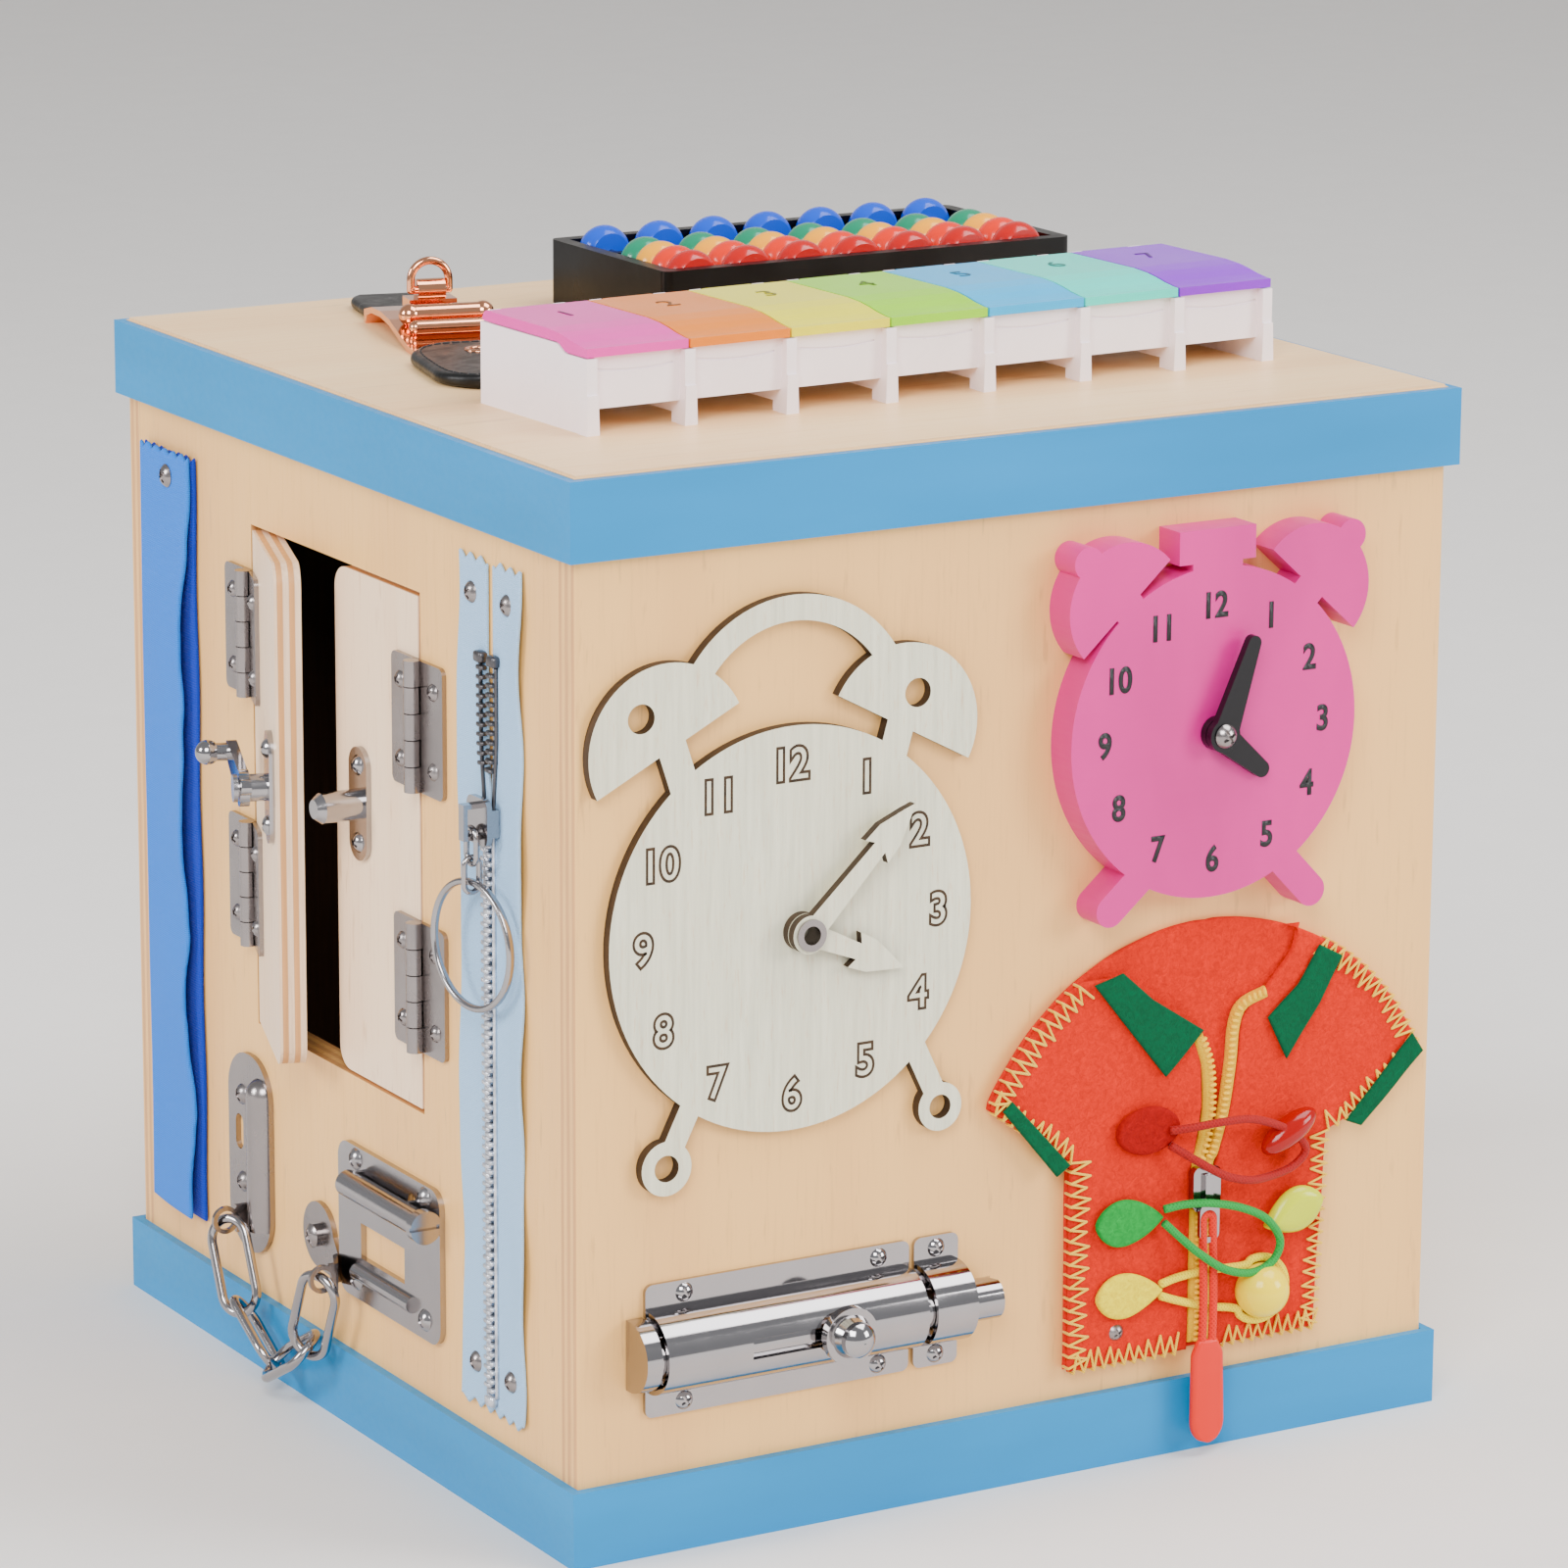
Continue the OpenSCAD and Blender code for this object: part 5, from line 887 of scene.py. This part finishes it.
class BUSY_OT_shirt(bpy.types.Operator):
    """Felt shirt: back, two flaps, collars, cuffs and blanket stitch"""
    bl_idname = "busy.shirt"
    bl_label = "Shirt"

    def execute(self, context):
        c = fabric()
        orange = felted("orange_felt", c.felt)

        def puckers(u, v):
            """Slow waves a few tenths of a millimetre high."""
            return 0.22 * np.sin(u / 7.5 + 0.4) * np.sin(v / 9.0) + 0.12 * np.sin(u / 3.1 + v / 4.3)

        y = shirt_rows()
        cloth("shirt_back_felt", on_shirt, [shirt_edge(y, -1), shirt_edge(y, 1)], orange,
              "orange_felt", "shirt_back", "front_panel", low=0.15, thick=1.85, rows=80, cols=60,
              soft=0.9, ripple=puckers)
        # Each flap ends at the cut beside the zip: its top, then heights and the cut's x there.
        cuts = {
            "left": (103.6, [0, 46, 53, 66, 77, 84.5, 96, 104],
                     [-1.8, -1.8, -0.6, 1.4, 1.0, -1.6, -15, -23.6]),
            "right": (110.6, [0, 46, 53, 63, 76, 87, 92.6, 94.4, 103, 111],
                      [4.9, 4.9, 6.8, 9.7, 12, 13, 16, 20.6, 28, 31]),
        }
        for name, (top, heights, cut) in cuts.items():
            side = -1 if name == "left" else 1
            v = y[y < top]
            edges = [spots(np.interp(v, heights, cut), v), shirt_edge(v, side)][::side]
            cloth(f"shirt_flap_{name}", on_shirt, edges, orange, "orange_felt", "shirt_flaps",
                  "shirt_back_felt", low=2.25, thick=1.8, rows=80, cols=36, soft=0.9,
                  ripple=puckers)
        self.trims(c)
        self.stitches(c)
        return {"FINISHED"}

    def trims(self, c):
        """Collars and cuffs, each a sheet between two short edge lines."""
        green = felted("green_felt", c.green, 0.8)
        shapes = {
            "collar_left": ([(-33, 102.6), (-23.3, 90.6), (-10.9, 75.4)],
                            [(-24.4, 104.8), (-15.2, 96.6), (0.6, 86.3)]),
            "collar_right": ([(36.2, 104.3), (29.6, 94.6), (20.4, 86.8)],
                             [(43.3, 100.5), (36.4, 88.8), (26.4, 75.0)]),
            "cuff_left": ([(-60, 73.2), (-43.6, 53.6)], [(-57.2, 75.5), (-39.6, 56.2)]),
            "cuff_right": ([(66.3, 76.4), (45.8, 55.4)], [(69.8, 71.2), (50.6, 53.4)]),
        }
        for name, edges in shapes.items():
            cloth(f"shirt_{name}", on_shirt, edges, green, "green_felt", "shirt_trim",
                  f"shirt_flap_{name.split('_')[1]}", low=4.3, thick=1.35, rows=26, cols=16,
                  edge=0.03, soft=0.6,
                  ripple=lambda u, v: 0.12 * np.sin(u / 4.0 + v / 5.0) + 0.1)

    def stitches(self, c):
        """Blanket stitch: from evenly spaced points of each edge a thread slants in over the
        felt and another slants back out to the next point."""
        r, step, reach = c.thread_d / 2, c.stitch_pitch, c.stitch_len
        rng = np.random.default_rng(4)
        felt_low, felt_top, middle = 2.0, 4.25, np.array([0.0, 52.0])
        runs = [shirt_edge(np.linspace(0, 103, 960), -1), shirt_edge(np.linspace(0, 106.5, 990), 1),
                spots(np.linspace(-38.5, -4.5, 200), 0), spots(np.linspace(7.5, 37.8, 200), 0)]
        parts = []
        for run in runs:
            s = run_of(run)
            where = np.arange(step * 0.4, s[-1], step)
            p = on_line(run, s, where)
            tangent = unit(on_line(run, s, where + 0.5) - p + 1e-6)
            inward = spots(-tangent[:, 1], tangent[:, 0])
            inward *= np.sign(((middle - p) * inward).sum(1, keepdims=True))
            tip = p + inward * (reach + rng.uniform(-0.9, 0.9, (len(p), 1))) + tangent * (
                step * 0.5 + rng.uniform(-0.5, 0.5, (len(p), 1)))
            out = p - inward * 0.35
            a, b = raised(out, felt_top + r), raised(tip, felt_top + r - 0.1)
            parts += [threads(a, b, r, (0, 0.01, 1)),
                      threads(raised(out, felt_low), a, r, (0.3, 1, -0.2)),
                      threads(b[:-1], a[1:], r * 0.9, (0, 0.01, 1))]
        f = Finish("yellow_thread", c.thread, 0.6, sheen=0.3)
        twist = f.wave(700, "X", 0.5, (0, 40, 0))
        f.colour(f.mix(twist, lin(c.thread, 0.72), lin(c.thread, 1.1))).relief(twist, 0.1, 0.5)
        piece("blanket_stitch", on_shirt, together(parts), f.mat)


class BUSY_OT_shirt_zip(bpy.types.Operator):
    """Yellow zip with its two open arms, the pull's cord and tab"""
    bl_idname = "busy.shirt_zip"
    bl_label = "Shirt zip"

    def execute(self, context):
        c = fabric()
        weave = woven("yellow_tape", c.thread, 0.7, "X")
        lines = {
            "left": [(-0.2, 2), (-0.2, 46), (1.0, 53), (2.9, 61), (3.2, 69), (2.4, 77), (-0.6, 85)],
            "right": [(3.2, 2), (3.2, 46), (5.0, 53), (7.9, 63), (9.9, 76), (10.7, 85.5),
                      (13.2, 91), (20.6, 93.6)],
        }
        half, pitch = 1.58, 1.6
        tooth = rounded_block((2.3, 1.0, 1.3), power=0.6, nu=6, nv=8)
        parts = []
        for name, line in lines.items():
            line = smooth_line(line, 60)
            along = unit(np.gradient(line, axis=0))
            out = spots(along[:, 1], -along[:, 0])
            cloth(f"shirt_zip_{name}", on_shirt, [line - out * half, line + out * half], weave,
                  "yellow_zip", "shirt_zip", "shirt_back_felt", low=2.1, thick=2.7, rows=60,
                  cols=12, edge=0.015, soft=1.1)
            first, lean = (0.8, 0.7) if name == "left" else (1.6, -0.7)
            s = run_of(line)
            where = np.arange(first, s[-1] - 1, pitch)
            p, along, out = (on_line(g, s, where) for g in (line, along, out))
            parts.append(copies(tooth, raised(p + out * lean, 4.75), raised(out, 0.0),
                                raised(along, 0.0)))
        piece("shirt_zip_teeth", on_shirt, together(parts), moulded("yellow_coil", c.thread, 0.3))
        self.pull(hardware().pull)
        return {"FINISHED"}

    def pull(self, rgb):
        """The cord runs up from the tab, through the slider's eye and back down. The tab is
        round below, and narrows most near the cord."""
        low, top, half = 26.0, 64.2, 1.55
        up = spots(-half, np.linspace(low, top, 28))
        bend = np.linspace(math.pi, 0, 14)[1:-1]
        eye = spots(half * np.cos(bend), top + half * np.sin(bend))
        run = np.concatenate([up, eye, up[::-1] * [-1, 1]])
        sway = 0.35 * np.sin((run[:, 1] - low) / 9.0)
        elastic("pull_cord", on_clock_face, spots(PULL_X + run[:, 0] + sway, run[:, 1], 7.75), rgb,
                "shirt_pull", "shirt_slider")
        t = np.linspace(0, 1, 30)
        half = 5.2 * np.sqrt(np.clip(1 - (1 - np.clip(t * 4.6, 0, 1)) ** 2, 0, 1))
        half -= 0.5 * np.clip(t, 0, 0.86) + 1.9 * np.clip((t - 0.86) / 0.14, 0, 1)
        lean, v = 0.6 - 0.5 * t, 3.3 + 28.4 * t
        tab = sheet_piece(spots(lean - half, v), spots(lean + half, v), low=6.7, thick=2.3,
                          rows=40, cols=16, edge=0.02, soft=1.0,
                          ripple=lambda u, w: 0.25 * np.exp(-((u / 3.2) ** 2)) - 0.1)
        piece("pull_tab", lambda p: on_clock_face(p + [PULL_X, 0, 0]), tab,
              moulded("pull_tab", rgb, 0.38), "shirt_pull", "shirt_slider")


class BUSY_OT_buttons(bpy.types.Operator):
    """Three felt tabs with elastic loops and the buttons that they hook over"""
    bl_idname = "busy.buttons"
    bl_label = "Buttons and loops"

    def execute(self, context):
        h = hardware()
        self.tabs(h)
        self.loops(h)
        self.knobs(h)
        return {"FINISHED"}

    def tabs(self, h):
        """Oval red tab and two leaf-shaped ones, with soft dimples."""
        t = np.linspace(0, 1, 40)
        oval = np.sin(math.pi * t) ** 0.45
        leaf = np.sin(math.pi * t ** 0.75) ** 0.8
        for name, x, y, long, wide, rgb, form, fuzz in (
                ("red", -25.8, 62, 19.0, 12.8, h.red, oval, 1.3),
                ("green", -31.6, 38.2, 20.4, 12.6, h.leaf, leaf, 0.7),
                ("yellow", -31.4, 18.6, 20.2, 12.2, h.yellow, leaf, 0.7)):
            half = wide / 2 * form
            shape = sheet_piece(spots(x + long * t, y - half), spots(x + long * t, y + half),
                                low=4.35, thick=2.3, rows=40, cols=18, edge=0.02, soft=1.4,
                                ripple=lambda u, v: 0.15 * np.sin(u / 2.7) * np.sin(v / 2.3))
            tab = piece(f"{name}_tab", on_shirt, shape, felted(f"{name}_tab", rgb, fuzz),
                        f"{name}_fastener")

    def loops(self, h):
        """Loops of elastic: each is one smooth curve out of the tab, over the zip, round its
        button and back into the tab."""
        a = np.radians(np.linspace(125, -150, 16))
        round_ball = spots(18.9 + 8.5 * np.cos(a), 14.0 + 8.5 * np.sin(a), 5.5).tolist()
        lines = {
            "red": (h.red, [
                (-10.4, 61.4, 6.9), (-5, 62.2, 9.5), (3, 63, 11.3), (12, 62.4, 11.2),
                (22, 58.6, 9.8), (28.6, 54.2, 9), (30.8, 50.2, 8.4), (27, 46.8, 8.4),
                (20, 45.6, 9.4), (12, 46, 11.1), (4, 48.4, 11.3), (-4, 53.2, 10),
                (-10.4, 57.6, 6.9)]),
            "green": (h.leaf, [
                (-11.8, 40.6, 6.9), (-6, 41.4, 8.2), (1, 41.2, 10.4), (10, 38.6, 10.6),
                (18.4, 34, 9.6), (23.2, 27.4, 8.8), (21.4, 22, 8.4), (14.6, 20, 9),
                (5.4, 22.6, 10.4), (-2.6, 28, 10.2), (-7.6, 32.8, 8), (-11.8, 37, 6.9)]),
            "yellow": (h.yellow, [
                (-12.2, 20.4, 6.6), (-6, 21, 5.5), (3, 21.4, 5.4), *round_ball,
                (3, 11.6, 5.4), (-6, 14.6, 5.5), (-12.2, 17.2, 6.6)]),
        }
        for name, (rgb, points) in lines.items():
            elastic(f"{name}_loop", on_shirt, smooth_line(points, 90), rgb,
                    "shirt_loops")

    def knobs(self, h):
        """Rice-shaped red bead, lime leaf and yellow ball with a flat underside."""
        t = np.linspace(0, 1, 40)
        x, half = -7.5 + 18.5 * t, 6.0 * np.sin(math.pi * t ** 0.8) ** 0.8
        leaf = sheet_piece(spots(x, -half), spots(x, half), low=4.3, thick=5.2, rows=40, cols=20,
                           edge=0.02, soft=4.0)
        bead = rounded_block((18.4, 7.6, 7.6), power=1.0, nu=21, nv=32)
        ball, faces = rounded_block((14.6, 14.6, 14.0), power=1.0, nu=25, nv=40)
        ball[:, 2] = np.maximum(ball[:, 2], -3.0)
        for name, shape, turn, x, y, w, rgb, rough, kind in (
                ("red_bead", bead, 30, 25.6, 56.4, 8.2, h.red, 0.12, "red"),
                ("leaf_button", leaf, 200, 30, 34.5, 0, h.lime, 0.2, "green"),
                ("ball_button", (ball, faces), 0, 18.9, 14.0, 7.3, h.yellow, 0.14, "yellow")):
            piece(name, lambda p: on_shirt(turned(p, turn, x, y) + [0, 0, w]), shape,
                  moulded(name, rgb, rough), f"{kind}_fastener")


# ---------------------------------------------------------------- top board
class BUSY_OT_pill_box(bpy.types.Operator):
    """White tray, seven clear tinted lids and their numbers"""
    bl_idname = "busy.pill_box"
    bl_label = "Pill box"

    def execute(self, context):
        dress(["pill_tray"], moulded("tray_white", hardware().tray, 0.24))
        tints = {
            "pink": (1.0, 0.28, 0.74), "orange": (1.0, 0.56, 0.08), "yellow": (1.0, 0.96, 0.16),
            "lime": (0.66, 0.94, 0.04), "sky": (0.08, 0.76, 1.0), "aqua": (0.22, 0.96, 0.88),
            "purple": (0.62, 0.12, 0.92),
        }
        bay = 208 / len(tints)
        for number, (name, tint) in enumerate(tints.items(), 1):
            slot, tint = f"lid_{name}", np.array(tint)
            f = Finish(f"clear_{slot}", tint, 0.10, clear=0.25, ior=1.3, shine=0.3)
            cloud = f.noise(60, 2.0, 0.5)
            f.colour(f.shade(cloud, 0.3, 0.7, lin(tint), lin(tint, 0.85), 0.35))
            dress([f"pill_lid_{number}"], f.rough(cloud, 0.3, 0.7, 0.10, 0.22).mat)
            ink = mottled(f"print_{slot}", tint * 0.45, 0.5, scale=900, dark=lin(tint * 0.4),
                          light=lin(tint * 0.5))
            v, faces = printed(str(number), size=7.0, depth=0.1)
            v += [(number - 0.5) * bay, 36.0, 24.08]
            piece(f"lid_number_{number}", on_pill_box, (v, faces), ink,
                  body=f"pill_lid_{number}")
        return {"FINISHED"}


class BUSY_OT_abacus(bpy.types.Operator):
    """Black frame and rows of coloured beads"""
    bl_idname = "busy.abacus"
    bl_label = "Abacus"

    def execute(self, context):
        black = moulded("abacus_black", hardware().black, 0.34, grain=0.5, coat=0.0, shine=0.22)
        dress(["abacus_frame"], black)
        dress(["abacus_upper_beads"], moulded("bead_blue", (0.02, 0.28, 0.80), 0.2))
        rows = [(0.72, 0.0, 0.0), (0.88, 0.14, 0.0), (0.96, 0.64, 0.0), (0.0, 0.50, 0.36)]
        f = Finish("bead_rows", rows[0], 0.22, coat=0.1, coat_rough=0.1)
        across = f.span(f.axis("Y"), 0.0341, 0.0677)
        stops = [(i / len(rows), lin(rgb)) for i, rgb in enumerate(rows)]
        f.colour(f.steps(across, stops, smooth=False)).relief(f.noise(300), 0.05, 0.3)
        dress(["abacus_lower_beads"], f.mat)
        return {"FINISHED"}


class BUSY_OT_clasp(bpy.types.Operator):
    """Bag clasp: leather tail and tongue, rose-gold plate, barrel and ring"""
    bl_idname = "busy.clasp"
    bl_label = "Clasp"

    def execute(self, context):
        gold = plated("rose_gold", hardware().gold, 0.10, 0.2)
        hide = leathered("black_leather", fabric().leather)
        dress(["clasp_body", "clasp_ring"], gold)
        t = np.linspace(0, 1, 30)
        y, half = 20.6 + 27.8 * t, 12.0 - 3.5 * np.clip((t - 0.72) / 0.28, 0, 1) ** 2
        shape = sheet_piece(spots(-half, y), spots(half, y), low=0.1, thick=2.8, rows=30, cols=24,
                            edge=0.02, soft=1.2)
        tail = piece("leather_tail", on_clasp, shape, hide, "clasp_strap")
        t, long, corner = np.linspace(0, 1, 60), 52, 15
        end = np.clip(np.minimum(t, 1 - t) * long / corner, 0, 1)
        y, half = -88.5 + long * t, 3 + 15 * np.sqrt(np.clip(1 - (1 - end) ** 2, 0, 1))
        cloth("leather_tongue", on_clasp, [spots(-half, y), spots(half, y)], hide,
              "black_leather", "clasp_tongue", "top_panel", "laid", low=0.15, thick=3.3, rows=60,
              cols=34, edge=0.015, soft=1.6, ripple=self.crown)
        self.stitching()
        around = np.linspace(0, TAU, 40, endpoint=False)[:, None]
        a = np.linspace(0, TAU, 12, endpoint=False)[None]
        r = 3.1 + 0.8 * np.cos(a)
        eyelet = spots(r * np.cos(around), -51 + r * np.sin(around), 4.0 + 0.5 * np.sin(a))
        piece("tongue_eyelet", on_clasp, grid(eyelet, True, True), gold)
        return {"FINISHED"}

    def crown(self, u, v):
        """The tongue stands half a millimetre higher along its middle."""
        return 0.5 * (1 - (u / 18) ** 2)

    def stitching(self):
        """Row of short stitches 2.4 mm inside the tongue's edge."""
        a = np.linspace(0, TAU, 400)
        cos, sin = (np.sign(g) * np.abs(g) ** 0.55 for g in (np.cos(a), np.sin(a)))
        line = spots(15.6 * cos, -62.5 + 23.6 * sin)
        s = run_of(line)
        where = np.arange(0, s[-1] - 1.0, 2.6)
        one, two = (on_line(line, s, where + ahead) for ahead in (0, 1.7))
        one, two = (raised(p, 3.5 + self.crown(p[:, 0], 0)) for p in (one, two))
        thread = mottled("black_thread", (0.10, 0.10, 0.11), 0.6, scale=1500,
                         dark=lin((0.05, 0.05, 0.055)), light=lin((0.16, 0.16, 0.17)))
        shape = threads(one, two, radius=0.22, up=(0, 0, 1))
        piece("tongue_stitching", on_clasp, shape, thread)


# ---------------------------------------------------------------- stage
def stand(obj, axes, place):
    """Turns an object so that its x, y and z lie along three axes, and puts it at a place."""
    matrix = np.eye(4)
    matrix[:3, :3], matrix[:3, 3] = np.stack(axes, 1), place
    obj.matrix_world = Matrix(matrix.tolist())


class BUSY_OT_stage(bpy.types.Operator):
    """Pale floor, soft studio light and camera"""
    bl_idname = "busy.stage"
    bl_label = "Stage"

    def execute(self, context):
        s = context.scene.busy_stage
        cy, sy, cp, sp = math.cos(s.yaw), math.sin(s.yaw), math.cos(s.pitch), math.sin(s.pitch)
        ahead, right = np.array([sy * cp, cy * cp, -sp]), np.array([cy, -sy, 0.0])
        up = np.cross(right, ahead)
        c, k = math.cos(s.roll), math.sin(s.roll)
        right, up = c * right + k * up, -k * right + c * up
        camera = link("camera", bpy.data.cameras.new("camera"))
        stand(camera, (right, up, -ahead), np.array(s.eye))
        camera.data.lens, camera.data.sensor_width, camera.data.clip_end = s.lens, 36.0, 20.0
        context.scene.camera = camera
        self.floor(s)
        self.lights(s)
        return {"FINISHED"}

    def floor(self, s):
        """Square floor that curves up into a wall far behind, turned to face the camera."""
        side, start, bend = 6.0, 3.0, 1.2
        a = np.linspace(0.1, math.pi / 2, 12)
        curve = spots(start + bend * np.sin(a), bend - bend * np.cos(a))
        run = np.concatenate([[[-side, 0.0], [start, 0.0]], curve, [[start + bend, side]]])
        p = spots(np.linspace(-side, side, 3)[:, None], run[None, :, 0], run[None, :, 1])
        v, faces = grid(turned(p, math.degrees(-s.yaw)))
        mesh = bpy.data.meshes.new("floor")
        mesh.from_pydata(v.tolist(), [], faces[:, ::-1].tolist())
        mesh.polygons.foreach_set("use_smooth", np.ones(len(mesh.polygons), bool))
        mesh.materials.append(mottled("floor_paper", s.floor, 0.8, scale=40,
                                      dark=lin(s.floor, 0.97), light=lin(s.floor, 1.02)))
        link("floor", mesh)

    def lights(self, s):
        """A dim sky and four square lights that face the board."""
        world = bpy.data.worlds.new("studio")
        bpy.context.scene.world = world
        world.use_nodes = True
        back = world.node_tree.nodes["Background"]
        back.inputs[0].default_value = (0.93, 0.96, 1.0, 1)
        back.inputs[1].default_value = 0.5
        aim = np.array([0, 0, 0.14])
        for name, place, size, share in (
                ("key", (-1.7, -2.1, 2.1), 1.5, 1.0), ("fill", (2.0, -2.0, 1.1), 1.1, 0.5),
                ("side", (-2.4, 0.5, 1.2), 0.9, 0.45), ("top", (0.9, -0.5, 2.2), 1.5, 0.5)):
            light = bpy.data.lights.new(name, "AREA")
            light.size, light.energy = size, s.power * share
            z = unit(np.array(place) - aim)
            x = unit(np.cross([0, 0, 1.0], z))
            stand(link(name, light), (x, np.cross(z, x), z), place)


OPERATORS = [BUSY_OT_stage, BUSY_OT_cabinet, BUSY_OT_metalwork, BUSY_OT_strap, BUSY_OT_long_zip,
             BUSY_OT_clocks, BUSY_OT_shirt, BUSY_OT_shirt_zip, BUSY_OT_buttons, BUSY_OT_pill_box,
             BUSY_OT_abacus, BUSY_OT_clasp]


class BUSY_PT_panel(bpy.types.Panel):
    """Lists the pieces that can be built and their settings"""
    bl_idname = "BUSY_PT_panel"
    bl_label = "Busy Board"
    bl_space_type = "VIEW_3D"
    bl_region_type = "UI"
    bl_category = "Busy Board"

    def draw(self, context):
        column = self.layout.column(align=True)
        for operator in OPERATORS:
            column.operator(operator.bl_idname)
        for key, group in GROUPS.items():
            box = self.layout.box()
            for name in group.__annotations__:
                box.prop(getattr(context.scene, key), name)


def register():
    for group in GROUPS.values():
        bpy.utils.register_class(group)
    for key, group in GROUPS.items():
        setattr(bpy.types.Scene, key, bpy.props.PointerProperty(type=group))
    for cls in [*OPERATORS, BUSY_PT_panel]:
        bpy.utils.register_class(cls)


def unregister():
    for cls in [BUSY_PT_panel, *reversed(OPERATORS)]:
        bpy.utils.unregister_class(cls)
    for key in GROUPS:
        delattr(bpy.types.Scene, key)
    for group in reversed(GROUPS.values()):
        bpy.utils.unregister_class(group)


def main():
    register()
    for operator in OPERATORS:
        group, name = operator.bl_idname.split(".")
        getattr(getattr(bpy.ops, group), name)()


if __name__ == "__main__":
    main()
